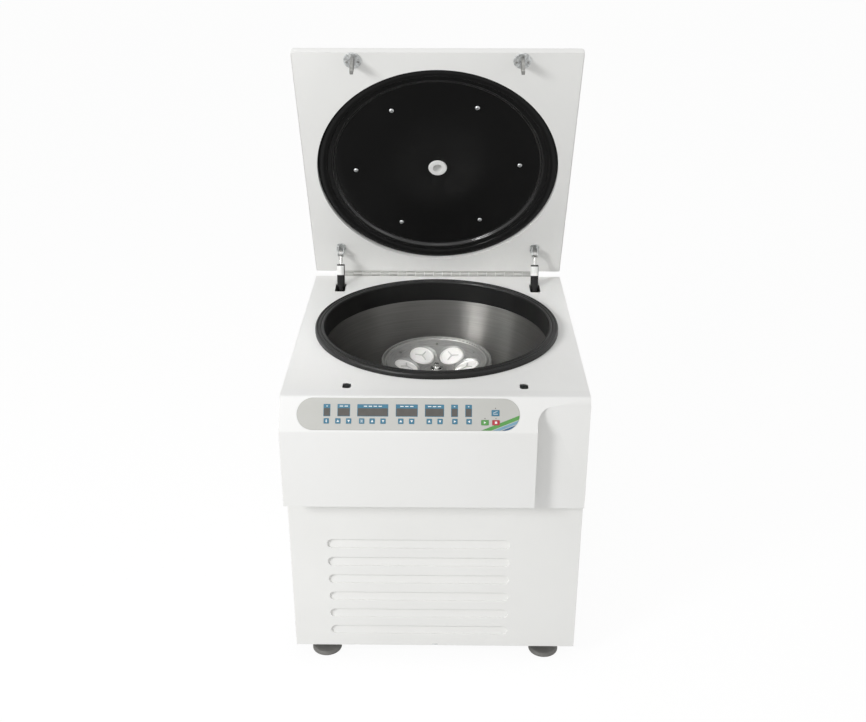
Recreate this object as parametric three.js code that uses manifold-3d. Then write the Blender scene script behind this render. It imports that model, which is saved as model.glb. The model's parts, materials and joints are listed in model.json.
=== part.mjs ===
// A floor-standing refrigerated centrifuge with its lid open, in millimetres, +Z up.
// The deck frame used below has x to the right, y to the back from the deck's front edge,
// and z up from the deck's top face.
import * as THREE from 'three';
import { mergeVertices } from 'three/addons/utils/BufferGeometryUtils.js';
import Module from 'manifold-3d';

const wasm = await Module();
wasm.setup();

// Shared values
const clearance = 0.3;        // gap between pieces that touch
const overrun = 5;            // how far a cutting tool runs past what it cuts
const degree = Math.PI / 180;
const quarterTurn = Math.PI / 2;
const ringFacets = 32;        // chamber ring, bowl, jacket and lid recess
const rotorFacets = 24;
const barFacets = 16;
const pinFacets = 12;
const bottleFacets = 12;
const smallFacets = 8;        // hinge knuckles and rotor dimples
const hexagon = 6;
const endFacets = 3;          // each quarter of a slot's round end
const filletFacets = 3;
const cornerFacets = 2;

// Driving dimensions
const cabinet = { width: 700, depth: 728, height: 711, sheet: 2 };
const foot = { height: 45, padRadius: 37.5, padHeight: 14, padTopRadius: 30, nutRadius: 17, stemRadius: 8,
  nutHeight: 12, studLength: 20, inset: 72, frontInset: 46 };
const deck = { frontFold: 26, holeMargin: 0.6 };
const frontSheet = { step: 24, topGap: 10, notchWidth: 14, notchHeight: 5 };
const louvre = { count: 6, leftInset: 90, rightInset: 169, height: 25, topDrop: 404.5, bottomRoom: 48.5,
  depth: 9, slit: 4, slitMargin: 12 };
const cover = { depth: 80, lip: 32, slopeDrop: 66, height: 263, wall: 4, lipRadius: 8, creaseRadius: 6 };
const grip = { width: 120, cornerRadius: 35, topSetback: 45, bottomSetback: 30 };
const overlay = { leftRoom: 40, rightRoom: 40, height: 72.6, thickness: 4, proud: 0.4, windowDepth: 0.6,
  windowHeight: 27.9, windowRise: 8.45 };
const key = { small: 11.7, wide: 16.5, low: 11.5, plateWidth: 17.5, plateHeight: 13.5, radius: 1.2,
  proud: 0.6, travel: 0.5, pocket: 3 };
const chamber = { sideRoom: 38, endRoom: 52, insulation: 26, collarWall: 3, collarDrop: 42, bowlDepth: 300,
  bowlWall: 1.5, bowlFillet: 40, bowlFlange: 14, jacketFloor: 28, ringWidth: 25, ringHeight: 13,
  ringRound: 4 };
const shelf = { thickness: 2.5, fold: 20, motorGap: 4 };
const motor = { radius: 75, chamfer: 4.5, bodyLength: 170, flangeRadius: 100, flangeHeight: 12,
  neckRadius: 29.7, neckRise: 15, bore: 12.4, boreDepth: 150 };
const shaft = { radius: 12, tapped: 6.4, tappedDepth: 22 };
const rotor = { rimRadius: 143, rimDrop: 90, rimWidth: 8, footRadius: 162, height: 160, tilt: 20 * degree,
  bottleCount: 6, hubRadius: 24, hubFootRadius: 33.6, hubDrop: 120, bore: 12.4, dimpleCircle: 112,
  dimpleRadius: 4.5, dimpleDepth: 2 };
const bottle = { capRadius: 32.5, capHeight: 13.7, capCircle: 78, capDrop: 112, radius: 30.6,
  length: 116, footRound: 8, capRound: 2.5, play: 0.7 };
const holdScrew = { headRadius: 17, headHeight: 15, edgeRound: 2.5, stemRadius: 6, stemLength: 30,
  socketRadius: 5, socketDepth: 7 };
const hinge = { behind: 8, rise: 4, radius: 6.25, pinRadius: 2.5, pinPlay: 0.3, halfLength: 268.5, knuckles: 21,
  leafHeight: 26, lidLeafHeight: 18, leafThickness: 1.7, relief: 3 };
const lid = { open: 65.6 * degree, gap: 8, edge: 20, thickness: 60, frontInset: 45, sideInset: 45,
  rearInset: 30, corner: 6, sheet: 1.5, recessMargin: 4.5, recessDepth: 14 };
const liner = { thickness: 3, lipWidth: 26, lipInnerDrop: 3, landWidth: 14, stepWidth: 12, stepRise: 8,
  edgePlay: 0.7 };
const port = { flangeRadius: 24.5, flangeHeight: 3, tubeRadius: 16, boreRadius: 13, proud: 2 };
const hook = { sideInset: 147, fromFront: 21.5, flangeRadius: 21.5, flangeThickness: 3, plateThickness: 8,
  baseWidth: 25, tipWidth: 12, length: 50, shoulder: 22, eyeDrop: 36, eyeWidth: 10, eyeHeight: 13,
  eyeRound: 3.3 };
const latchHole = { width: 20, depth: 29, radius: 7 };
const latchBox = { endRoom: 49, front: 4, back: 50, drop: 48, wall: 2, coilLength: 44, coilHeight: 26 };
const latchBar = { thickness: 6, height: 22, noseRadius: 4, noseLength: 13, armWidth: 20, armDepth: 26,
  nearRoom: 39, farRoom: 35, noseGap: 1.5 };
const strut = { sideInset: 78, fromAxis: 98, standoff: 22, footInset: 156, footDrop: 250, eyeRadius: 9,
  eyeThickness: 10.4, pinRadius: 4, shankRadius: 5, shankLength: 30, radius: 11, wall: 1.7, length: 190,
  guide: 6, rodRadius: 4, pistonHeight: 8, pistonInside: 28, play: 0.4 };
const strutSlot = { width: 29, length: 60, rearRoom: 62, radius: 6 };
const strutBracket = { width: 26, length: 36, round: 12, thickness: 3, lugThickness: 3, lugWidth: 18 };
const strutAnchor = { pinRadius: 6, pinLength: 22, size: 22 };
const tray = { fold: 30 };
const condenser = { width: 300, headRoom: 68.6, thickness: 44, back: 14, shroudDepth: 56, shroudMargin: 7,
  shroudWall: 4, armWidth: 16, motorRadius: 28, motorLength: 22, spindleRadius: 4, spindleLength: 30 };
const fan = { tipRoom: 4, hubRadius: 26, hubLength: 32, blades: 5, chord: 62, bladeThickness: 2.4,
  pitch: 28 * degree, bore: 4.5 };
const compressor = { radius: 78, height: 190, sideInset: 160, rearInset: 168, dome: 45,
  plateWidth: 190, plateDepth: 150, plateThickness: 3, plateRise: 16, stubRadius: 12 };
const rearSheet = { slots: 9, slotWidth: 7, slotHeight: 150, slotPitch: 24, slotRise: 131, inletRadius: 15,
  inletLength: 22, inletInset: 120, inletRise: 111, inletBore: 6 };

// Places that follow from the sizes
const halfWidth = cabinet.width / 2;
const deckTop = foot.height + cabinet.height;
const sheet = cabinet.sheet;
const hingeBack = cabinet.depth + hinge.behind;
const lidPlane = lid.gap - hinge.rise;                     // inner face above the hinge axis, lid closed
const chamberBack = cabinet.depth / 2;
const jacketRadius = Math.min(halfWidth - chamber.sideRoom, chamberBack - chamber.endRoom);
const mouthRadius = jacketRadius - chamber.insulation;
const ringOuter = mouthRadius + chamber.ringWidth;
const recessRadius = ringOuter + lid.recessMargin;
const chamberOnLid = chamberBack - hingeBack;
const hookX = halfWidth - hook.sideInset;
const strutX = halfWidth - strut.sideInset;
const strutFootBack = cabinet.depth - strut.footInset;
const gripLeft = halfWidth - grip.width;
const overlayLeft = overlay.leftRoom - halfWidth;
const overlayLength = gripLeft - overlay.rightRoom - overlayLeft;
const louvrePitch = (cabinet.height - louvre.bottomRoom - louvre.topDrop) / (louvre.count - 1);
const shelfTop = -chamber.bowlDepth - chamber.bowlWall - clearance - chamber.jacketFloor - clearance;
const trayTop = sheet + clearance - cabinet.height;
const condenserHeight = shelfTop - shelf.fold - condenser.headRoom - trayTop;
const shroudRadius = condenserHeight / 2 - condenser.shroudMargin;
const fanRadius = shroudRadius - condenser.shroudWall - fan.tipRoom;
const consoleAngle = Math.atan2(cover.slopeDrop, cover.depth - cover.lip);
const openedRear = (hinge.behind + lid.rearInset) * -Math.cos(lid.open)
  + (lidPlane + lid.thickness) * Math.sin(lid.open);
const middle = (hingeBack + openedRear - cover.depth) / 2;

// Finishes
function finish(color, roughness, metalness = 0) {
  return new THREE.MeshStandardMaterial({ color, roughness, metalness });
}
const finishes = {
  whitePaint: finish(0xe9e9e6, 0.45),
  whitePlastic: finish(0xeeeeeb, 0.4),
  greyFilm: finish(0xc9cbc8, 0.5),
  blueKey: finish(0x4a7c94, 0.45),
  greenKey: finish(0x5c9654, 0.45),
  redKey: finish(0xb03c46, 0.45),
  blackRubber: finish(0x2b2b2d, 0.75),
  blackPlastic: finish(0x161617, 0.55),
  steel: finish(0xb9bbbc, 0.3, 1),
  zinc: finish(0xa6a9aa, 0.4, 1),
  anodised: finish(0x8d8f90, 0.45, 0.8),
  foam: finish(0xd8cf9f, 0.9),
  castGrey: finish(0x6d7074, 0.6, 0.3),
  whiteCap: finish(0xf0efec, 0.4),
};

// Solids: every geometry becomes one closed body before it is cut or joined
function solidOf(geometry) {
  const bare = geometry.clone();
  bare.deleteAttribute('normal');
  bare.deleteAttribute('uv');
  const merged = mergeVertices(bare);
  const index = merged.index.array;
  const kept = [];
  for (let i = 0; i < index.length; i += 3) {
    const [a, b, c] = [index[i], index[i + 1], index[i + 2]];
    if (a !== b && b !== c && c !== a) kept.push(a, b, c);
  }
  const vertProperties = Float32Array.from(merged.attributes.position.array);
  return new wasm.Manifold(new wasm.Mesh({ numProp: 3, vertProperties, triVerts: Uint32Array.from(kept) }));
}

function geometryOf(solid) {
  const mesh = solid.getMesh();
  const geometry = new THREE.BufferGeometry();
  geometry.setAttribute('position', new THREE.BufferAttribute(Float32Array.from(mesh.vertProperties), 3));
  geometry.setIndex(new THREE.BufferAttribute(Uint32Array.from(mesh.triVerts), 1));
  return geometry;
}

function block(low, high) {
  const size = high.map((value, axis) => value - low[axis]);
  const geometry = new THREE.BoxGeometry(...size);
  geometry.translate(...low.map((value, axis) => value + size[axis] / 2));
  return solidOf(geometry);
}

function outlineShape(points) {
  return new THREE.Shape(points.map(([x, y]) => new THREE.Vector2(x, y)));
}

// A prism on an outline: across X from (y, z) points, across Y from (x, z), across Z from (x, y)
function prismX(points, low, high) {
  const geometry = new THREE.ExtrudeGeometry(outlineShape(points), { depth: high - low, bevelEnabled: false });
  geometry.rotateX(quarterTurn).rotateZ(quarterTurn).translate(low, 0, 0);
  return solidOf(geometry);
}

function prismY(points, low, high) {
  const geometry = new THREE.ExtrudeGeometry(outlineShape(points), { depth: high - low, bevelEnabled: false });
  geometry.rotateX(quarterTurn).translate(0, high, 0);
  return solidOf(geometry);
}

function prismZ(points, low, high) {
  const geometry = new THREE.ExtrudeGeometry(outlineShape(points), { depth: high - low, bevelEnabled: false });
  geometry.translate(0, 0, low);
  return solidOf(geometry);
}

function barX(radius, low, high, y, z, facets = pinFacets) {
  const geometry = new THREE.CylinderGeometry(radius, radius, high - low, facets);
  geometry.rotateZ(quarterTurn).translate((low + high) / 2, y, z);
  return solidOf(geometry);
}

function barY(radius, low, high, x, z, facets = pinFacets) {
  const geometry = new THREE.CylinderGeometry(radius, radius, high - low, facets);
  geometry.translate(x, (low + high) / 2, z);
  return solidOf(geometry);
}

function barZ(radius, low, high, x, y, facets = pinFacets) {
  const geometry = new THREE.CylinderGeometry(radius, radius, high - low, facets);
  geometry.rotateX(quarterTurn).translate(x, y, (low + high) / 2);
  return solidOf(geometry);
}

// A turned piece: the profile's points are (radius, z) in one closed round
function turned(profile, facets, x = 0, y = 0) {
  const points = [...profile, profile[0]].map(([r, z]) => new THREE.Vector2(r, z));
  const geometry = new THREE.LatheGeometry(points, facets);
  geometry.rotateX(quarterTurn).translate(x, y, 0);
  const solid = solidOf(geometry);
  return solid.volume() < 0 ? solidOf(flipped(geometry)) : solid;
}

function flipped(geometry) {
  const copy = geometry.clone();
  const index = Array.from(copy.index.array);
  for (let i = 0; i < index.length; i += 3) [index[i], index[i + 1]] = [index[i + 1], index[i]];
  copy.setIndex(index);
  return copy;
}

function arc(cx, cy, radius, from, to, facets) {
  const points = [];
  for (let i = 0; i <= facets; i++) {
    const angle = from + (to - from) * (i / facets);
    points.push([cx + radius * Math.cos(angle), cy + radius * Math.sin(angle)]);
  }
  return points;
}

function roundedBox(x0, x1, y0, y1, radius, facets = cornerFacets) {
  return [
    ...arc(x1 - radius, y0 + radius, radius, -quarterTurn, 0, facets),
    ...arc(x1 - radius, y1 - radius, radius, 0, quarterTurn, facets),
    ...arc(x0 + radius, y1 - radius, radius, quarterTurn, 2 * quarterTurn, facets),
    ...arc(x0 + radius, y0 + radius, radius, 2 * quarterTurn, 3 * quarterTurn, facets),
  ];
}

function stadium(x0, x1, y0, y1, facets = endFacets) {
  return roundedBox(x0, x1, y0, y1, (y1 - y0) / 2, facets);
}

// A solid through rings of equal point counts, each ring convex and level
function loft(rings) {
  const count = rings[0].length;
  const positions = rings.flat(2);
  const index = [];
  for (let r = 0; r + 1 < rings.length; r++) {
    for (let i = 0; i < count; i++) {
      const [a, b] = [r * count + i, r * count + (i + 1) % count];
      index.push(a, b, b + count, a, b + count, a + count);
    }
  }
  const top = (rings.length - 1) * count;
  for (let i = 1; i + 1 < count; i++) {
    index.push(0, i + 1, i);
    index.push(top, top + i, top + i + 1);
  }
  const geometry = new THREE.BufferGeometry();
  geometry.setAttribute('position', new THREE.BufferAttribute(Float32Array.from(positions), 3));
  geometry.setIndex(index);
  return solidOf(geometry);
}

function levelRing(outline, z) {
  return outline.map(([x, y]) => [x, y, z]);
}

function tilted(solid, rotation, position) {
  const geometry = geometryOf(solid);
  geometry.applyMatrix4(new THREE.Matrix4().makeRotationFromEuler(new THREE.Euler(...rotation)));
  geometry.translate(...position);
  return solidOf(geometry);
}

function joined(solids) {
  return solids.reduce((whole, solid) => whole.add(solid));
}

function piece(name, solid, material) {
  const mesh = new THREE.Mesh(geometryOf(solid), material);
  mesh.name = name;
  return mesh;
}

function spanX(side, near, far) {
  return side < 0 ? [-far, -near] : [near, far];
}

// Cabinet sheets
function baseTray() {
  const outer = halfWidth - sheet - clearance;
  const front = sheet - frontSheet.step + clearance;
  const back = cabinet.depth - sheet - clearance;
  const bottom = -cabinet.height;
  let body = block([-outer, front, bottom], [outer, back, bottom + tray.fold]);
  body = body.subtract(block([sheet - outer, front + sheet, bottom + sheet],
    [outer - sheet, back - sheet, bottom + tray.fold + overrun]));
  for (const [x, y] of footPlaces()) {
    body = body.subtract(barZ(foot.stemRadius + clearance, bottom - overrun, bottom + sheet + overrun, x, y));
  }
  return piece('base_tray', body, finishes.zinc);
}

function footPlaces() {
  const [front, back] = [foot.frontInset - frontSheet.step, cabinet.depth - foot.inset];
  const x = halfWidth - foot.inset;
  return [[-x, front], [x, front], [-x, back], [x, back]];
}

function feet() {
  const names = ['foot_front_left', 'foot_front_right', 'foot_rear_left', 'foot_rear_right'];
  const floor = -deckTop;
  const top = -cabinet.height - clearance;
  return footPlaces().map(([x, y], i) => {
    const profile = [[0, floor], [foot.padRadius, floor], [foot.padRadius, floor + foot.padHeight / 2],
      [foot.padTopRadius, floor + foot.padHeight], [foot.stemRadius, floor + foot.padHeight],
      [foot.stemRadius, top + foot.studLength], [0, top + foot.studLength]];
    const nut = barZ(foot.nutRadius, top - foot.nutHeight, top, x, y, hexagon);
    return piece(names[i], turned(profile, barFacets, x, y).add(nut), finishes.blackRubber);
  });
}

function frontPanel() {
  const [front, back] = [-frontSheet.step, sheet - frontSheet.step];
  const [bottom, shoulder] = [-cabinet.height, -cover.height - clearance];
  const upper = halfWidth - cover.wall - clearance;
  const notch = frontSheet.notchWidth / 2;
  const outline = [[-halfWidth, bottom], [-notch, bottom], [-notch, bottom + frontSheet.notchHeight],
    [notch, bottom + frontSheet.notchHeight], [notch, bottom], [halfWidth, bottom], [halfWidth, shoulder],
    [upper, shoulder], [upper, -frontSheet.topGap], [-upper, -frontSheet.topGap], [-upper, shoulder],
    [-halfWidth, shoulder]];
  let body = prismY(outline, front, back);
  const radius = louvre.height / 2;
  const [left, right] = [louvre.leftInset - halfWidth, halfWidth - louvre.rightInset];
  for (let i = 0; i < louvre.count; i++) {
    const middleZ = -louvre.topDrop - i * louvrePitch;
    const [low, high] = [middleZ - radius, middleZ + radius];
    const wedge = gap => [[front - overrun, low - gap], [front + gap, low - gap],
      [front + louvre.depth + gap, high + gap], [front - overrun, high + gap]];
    const pan = prismY(stadium(left - sheet, right + sheet, low - sheet, high + sheet),
      front, front + louvre.depth + sheet)
      .intersect(prismX(wedge(sheet), left - sheet - overrun, right + sheet + overrun));
    const hollow = prismY(stadium(left, right, low, high), front - overrun, front + louvre.depth)
      .intersect(prismX(wedge(0), left - overrun, right + overrun));
    const slit = block([left + louvre.slitMargin, front + louvre.depth - sheet, high - louvre.slit],
      [right - louvre.slitMargin, front + louvre.depth + sheet + overrun, high]);
    body = body.add(pan).subtract(hollow).subtract(slit);
  }
  return piece('front_panel', body, finishes.whitePaint);
}

function sidePanel(name, side) {
  const outer = halfWidth;
  const inner = halfWidth - sheet;
  const [bottom, shoulder, top] = [-cabinet.height, -cover.height - clearance, -sheet - clearance];
  const front = sheet - frontSheet.step + clearance;
  const outline = [[front, bottom], [cabinet.depth, bottom], [cabinet.depth, top], [clearance, top],
    [clearance, shoulder], [front, shoulder]];
  let body = prismX(outline, ...spanX(side, inner, outer));
  const eyeSide = strutX + strut.eyeThickness / 2 + clearance;
  const arm = strutAnchor.size / 2;
  const [near, far] = spanX(side, eyeSide + strutAnchor.pinLength, inner + sheet / 2);
  body = body.add(block([near, strutFootBack - arm, -strut.footDrop - arm],
    [far, strutFootBack + arm, -strut.footDrop + arm]));
  const pin = spanX(side, eyeSide, eyeSide + strutAnchor.pinLength + sheet);
  body = body.add(barX(strutAnchor.pinRadius, ...pin, strutFootBack, -strut.footDrop));
  return piece(name, body, finishes.whitePaint);
}

function rearPanel() {
  const side = halfWidth - sheet - clearance;
  const [front, back] = [cabinet.depth - sheet, cabinet.depth];
  let body = block([-side, front, -cabinet.height], [side, back, -sheet - clearance]);
  const first = -(rearSheet.slots - 1) * rearSheet.slotPitch / 2;
  for (let i = 0; i < rearSheet.slots; i++) {
    const x = first + i * rearSheet.slotPitch;
    const half = rearSheet.slotWidth / 2;
    const low = rearSheet.slotRise - cabinet.height;
    const high = low + rearSheet.slotHeight;
    body = body.subtract(block([x - half, front - overrun, low], [x + half, back + overrun, high]));
  }
  const [inletX, inletZ] = [rearSheet.inletInset - halfWidth, rearSheet.inletRise - cabinet.height];
  const inletBack = back + rearSheet.inletLength;
  const gland = barY(rearSheet.inletRadius, front, inletBack, inletX, inletZ, barFacets);
  const bore = barY(rearSheet.inletBore, front - overrun, inletBack + overrun, inletX, inletZ);
  return piece('rear_panel', body.add(gland).subtract(bore), finishes.whitePaint);
}

function deckPlate() {
  let body = block([-halfWidth, 0, -sheet], [halfWidth, cabinet.depth, 0]);
  const foldSide = halfWidth - cover.wall - clearance;
  body = body.add(block([-foldSide, 0, -deck.frontFold], [foldSide, sheet, 0]));
  const mouth = mouthRadius + chamber.collarWall + deck.holeMargin;
  body = body.subtract(barZ(mouth, -sheet - overrun, overrun, 0, chamberBack, ringFacets));
  const slotBack = cabinet.depth - strutSlot.rearRoom;
  for (const side of [-1, 1]) {
    const slot = roundedBox(side * strutX - strutSlot.width / 2, side * strutX + strutSlot.width / 2,
      slotBack - strutSlot.length, slotBack, strutSlot.radius);
    body = body.subtract(prismZ(latchHoleOutline(side), -sheet - overrun, overrun));
    body = body.subtract(prismZ(slot, -sheet - overrun, overrun));
  }
  return piece('deck_plate', body, finishes.whitePaint);
}

// Front cover: a moulded hood with a hand recess at its right end
function coverCorners() {
  return [[0, 0], [-cover.lip, 0], [-cover.depth, -cover.slopeDrop], [-cover.depth, -cover.height]];
}

function roundedCorner(before, corner, after, radius, facets) {
  const from = new THREE.Vector2(before[0] - corner[0], before[1] - corner[1]).normalize();
  const to = new THREE.Vector2(after[0] - corner[0], after[1] - corner[1]).normalize();
  const half = Math.acos(from.dot(to)) / 2;
  const reach = radius / Math.tan(half);
  const start = new THREE.Vector2(...corner).addScaledVector(from, reach);
  const end = new THREE.Vector2(...corner).addScaledVector(to, reach);
  const curve = new THREE.QuadraticBezierCurve(start, new THREE.Vector2(...corner), end);
  return curve.getPoints(facets).map(point => [point.x, point.y]);
}

function coverInside() {
  const lean = consoleAngle;
  const shift = cover.wall * Math.tan(lean / 2);
  const lipCorner = [-cover.lip + shift, -cover.wall];
  const creaseShift = cover.wall * Math.tan((quarterTurn - lean) / 2);
  const creaseCorner = [cover.wall - cover.depth, -cover.slopeDrop - creaseShift];
  const floor = cover.wall - cover.height;
  return [[overrun, -cover.wall], lipCorner, creaseCorner, [cover.wall - cover.depth, floor], [overrun, floor]];
}

function gripDrop() {
  return (grip.topSetback - cover.lip) * Math.tan(consoleAngle);
}

function gripSolid(grow, low, high) {
  const [left, top] = [gripLeft - grow, grow - gripDrop()];
  const right = halfWidth + overrun;
  const radius = grip.cornerRadius + grow;
  const bottom = -cover.height - overrun;
  const outline = [[left, bottom], [right, bottom], [right, top],
    ...arc(left + radius, top - radius, radius, quarterTurn, 2 * quarterTurn, 2 * filletFacets)];
  const run = cover.height - gripDrop();
  const slope = (grip.topSetback - grip.bottomSetback) / run;
  const planeY = z => -grip.topSetback - slope * (z + gripDrop()) + grow;
  const side = [[planeY(bottom), bottom], [planeY(high), high], [-cover.depth - overrun, high],
    [-cover.depth - overrun, bottom]];
  return prismY(outline, -cover.depth - overrun, low).intersect(prismX(side, left - overrun, right + overrun));
}

function frontCover() {
  const [back, lip, crease, bottom] = coverCorners();
  const outer = [back, ...roundedCorner(back, lip, crease, cover.lipRadius, filletFacets),
    ...roundedCorner(lip, crease, bottom, cover.creaseRadius, cornerFacets), bottom, [0, -cover.height]];
  const inside = halfWidth - cover.wall;
  const whole = prismX(outer, -halfWidth, halfWidth);
  let body = whole.subtract(prismX(coverInside(), -inside, inside));
  body = body.subtract(block([-inside, -frontSheet.step - clearance, -cover.height - overrun],
    [inside, overrun, cover.wall - cover.height + overrun]));
  body = body.add(gripSolid(cover.wall, 0, overrun).intersect(whole)).subtract(gripSolid(0, 0, overrun));
  const tool = tilted(prismZ(stadium(...overlayBounds(clearance)), -cover.wall - overrun, overrun),
    [consoleAngle, 0, 0], overlayPlace(0));
  return piece('front_cover', body.subtract(tool), finishes.whitePlastic);
}

// Control panel: a film-faced plate let into the console face, with keys in pockets
const windowShares = [[-0.3646, 0.0316], [-0.2889, 0.0574], [-0.1588, 0.1396], [-0.0061, 0.099],
  [0.1181, 0.0862], [0.208, 0.0312], [0.2709, 0.0302]];
const smallKeyShares = [-0.3664, -0.3144, -0.2662, -0.2078, -0.1608, -0.112, -0.0326, 0.0162,
  0.0948, 0.1432, 0.2096, 0.2728];
const smallKeyRiseShare = -0.219;
const actionKeyShares = {
  key_start: { along: 0.344, rise: -0.248 },
  key_stop: { along: 0.3932, rise: -0.248 },
  key_lid: { along: 0.3912, rise: 0.051 },
};
const smallKeyNames = ['key_program', 'key_speed_up', 'key_speed_down', 'key_mode', 'key_set_up', 'key_set_down',
  'key_time_up', 'key_time_down', 'key_temperature_up', 'key_temperature_down', 'key_ramp', 'key_brake'];

function overlayBounds(grow) {
  return [-overlayLength / 2 - grow, overlayLength / 2 + grow, -overlay.height / 2 - grow,
    overlay.height / 2 + grow, 2 * endFacets];
}

function overlayPlace(lift) {
  const run = cover.depth - cover.lip;
  const centre = [overlayLeft + overlayLength / 2, -cover.lip - run / 2, -cover.slopeDrop / 2];
  return [centre[0], centre[1] - lift * Math.sin(consoleAngle), centre[2] + lift * Math.cos(consoleAngle)];
}

function keyPlaces() {
  const places = smallKeyNames.map((name, i) => ({ name, x: smallKeyShares[i] * overlayLength,
    y: smallKeyRiseShare * overlay.height, width: key.small, height: key.small, material: finishes.blueKey }));
  const action = (name, width, height, material) => places.push({ name,
    x: actionKeyShares[name].along * overlayLength, y: actionKeyShares[name].rise * overlay.height,
    width, height, material });
  action('key_start', key.wide, key.low, finishes.greenKey);
  action('key_stop', key.wide, key.low, finishes.redKey);
  action('key_lid', key.plateWidth, key.plateHeight, finishes.blueKey);
  return places;
}

function keyOutline({ x, y, width, height }, grow) {
  return roundedBox(x - width / 2 - grow, x + width / 2 + grow, y - height / 2 - grow, y + height / 2 + grow,
    key.radius + grow);
}

function controlPanel() {
  const group = new THREE.Group();
  group.position.set(...overlayPlace(overlay.proud));
  group.rotation.x = consoleAngle;
  let plate = prismZ(stadium(...overlayBounds(0)), -overlay.thickness, 0);
  for (const [along, width] of windowShares) {
    const [x, half] = [along * overlayLength, width * overlayLength / 2];
    plate = plate.subtract(block([x - half, overlay.windowRise - overlay.windowHeight / 2, -overlay.windowDepth],
      [x + half, overlay.windowRise + overlay.windowHeight / 2, overrun]));
  }
  for (const place of keyPlaces()) {
    plate = plate.subtract(prismZ(keyOutline(place, clearance), -key.pocket, overrun));
    const cap = prismZ(keyOutline(place, 0), key.travel + clearance - key.pocket, key.proud);
    group.add(piece(place.name, cap, place.material));
  }
  group.add(piece('control_overlay', plate, finishes.greyFilm));
  return group;
}

// Chamber: rubber ring, stainless bowl and foam jacket
function chamberParts() {
  const [mouth, y] = [mouthRadius, chamberBack];
  const collarOuter = mouth + chamber.collarWall;
  const round = chamber.ringRound;
  const top = chamber.ringHeight;
  const ridge = (collarOuter + ringOuter) / 2;
  const ring = turned([[mouth + round / 4, -chamber.collarDrop], [collarOuter, -chamber.collarDrop],
    [collarOuter, clearance], [ringOuter, clearance], [ringOuter, top - round],
    [ringOuter - round / 3, top - round / 4], [ringOuter - round, top],
    [ridge + round / 2, top], [ridge, top - round / 3], [ridge - round / 2, top],
    [mouth + 3 * round / 2, top], [mouth + round / 2, top - round / 3], [mouth + round / 4, top - round]],
  ringFacets, 0, y);

  const [rim, depth, wall] = [-chamber.collarDrop - clearance, -chamber.bowlDepth, chamber.bowlWall];
  const fillet = chamber.bowlFillet;
  const inner = arc(mouth - fillet, depth + fillet, fillet, 0, -quarterTurn, filletFacets);
  const outer = arc(mouth - fillet, depth + fillet, fillet + wall, -quarterTurn, 0, filletFacets);
  const neckHole = motor.neckRadius + clearance;
  const bowl = turned([[mouth, rim], ...inner, [neckHole, depth], [neckHole, depth - wall], ...outer,
    [mouth + wall, rim - wall], [mouth + chamber.bowlFlange, rim - wall], [mouth + chamber.bowlFlange, rim]],
  ringFacets, 0, y);

  const inside = mouth + wall + clearance;
  const jacketTop = rim - wall - clearance;
  const floorTop = depth - wall - clearance;
  const lining = arc(mouth - fillet, depth + fillet, fillet + wall + clearance, 0, -quarterTurn, filletFacets);
  const motorHole = motor.flangeRadius + shelf.motorGap;
  const jacket = turned([[inside, jacketTop], ...lining, [motorHole, floorTop],
    [motorHole, floorTop - chamber.jacketFloor], [jacketRadius, floorTop - chamber.jacketFloor],
    [jacketRadius, jacketTop]], ringFacets, 0, y);
  return [piece('chamber_gasket', ring, finishes.blackRubber), piece('chamber_bowl', bowl, finishes.steel),
    piece('bowl_insulation', jacket, finishes.foam)];
}

// Drive: shelf, motor, shaft, rotor, hold-down screw and bottles
function motorShelf() {
  const side = halfWidth - sheet - clearance;
  const front = sheet - frontSheet.step + clearance;
  const back = cabinet.depth - sheet - clearance;
  let body = block([-side, front, shelfTop - shelf.thickness], [side, back, shelfTop]);
  for (const edge of [-1, 1]) {
    const [near, far] = spanX(edge, side - shelf.thickness, side);
    body = body.add(block([near, front, shelfTop - shelf.fold], [far, back, shelfTop]));
  }
  const hole = barZ(motor.radius + shelf.motorGap, shelfTop - shelf.fold - overrun, shelfTop + overrun, 0,
    chamberBack, barFacets);
  return piece('motor_shelf', body.subtract(hole), finishes.zinc);
}

function driveMotor() {
  const bottom = shelfTop - motor.bodyLength;
  const flange = shelfTop + clearance;
  const neckTop = -chamber.bowlDepth + motor.neckRise;
  const profile = [[0, bottom], [motor.radius - motor.chamfer, bottom], [motor.radius, bottom + motor.chamfer],
    [motor.radius, flange], [motor.flangeRadius, flange], [motor.flangeRadius, flange + motor.flangeHeight],
    [motor.neckRadius, flange + motor.flangeHeight], [motor.neckRadius, neckTop], [motor.bore, neckTop],
    [motor.bore, neckTop - motor.boreDepth], [0, neckTop - motor.boreDepth]];
  return piece('drive_motor', turned(profile, rotorFacets, 0, chamberBack), finishes.castGrey);
}

function driveShaft() {
  const top = -rotor.hubDrop - holdScrew.headHeight;
  const foot = -chamber.bowlDepth + motor.neckRise - motor.boreDepth + clearance;
  const profile = [[0, foot], [shaft.radius, foot], [shaft.radius, top], [shaft.tapped, top],
    [shaft.tapped, top - shaft.tappedDepth], [0, top - shaft.tappedDepth]];
  return piece('drive_shaft', turned(profile, barFacets, 0, chamberBack), finishes.steel);
}

function rotorFaceAt(radius) {
  const seat = bottle.capCircle + (bottle.capHeight + clearance) * Math.sin(rotor.tilt);
  const seatZ = -bottle.capDrop - (bottle.capHeight + clearance) * Math.cos(rotor.tilt);
  return seatZ + (radius - seat) * Math.tan(rotor.tilt);
}

function bottleAngles() {
  const step = 4 * quarterTurn / rotor.bottleCount;
  return Array.from({ length: rotor.bottleCount }, (_, i) => (i + 0.5) * step);
}

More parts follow.
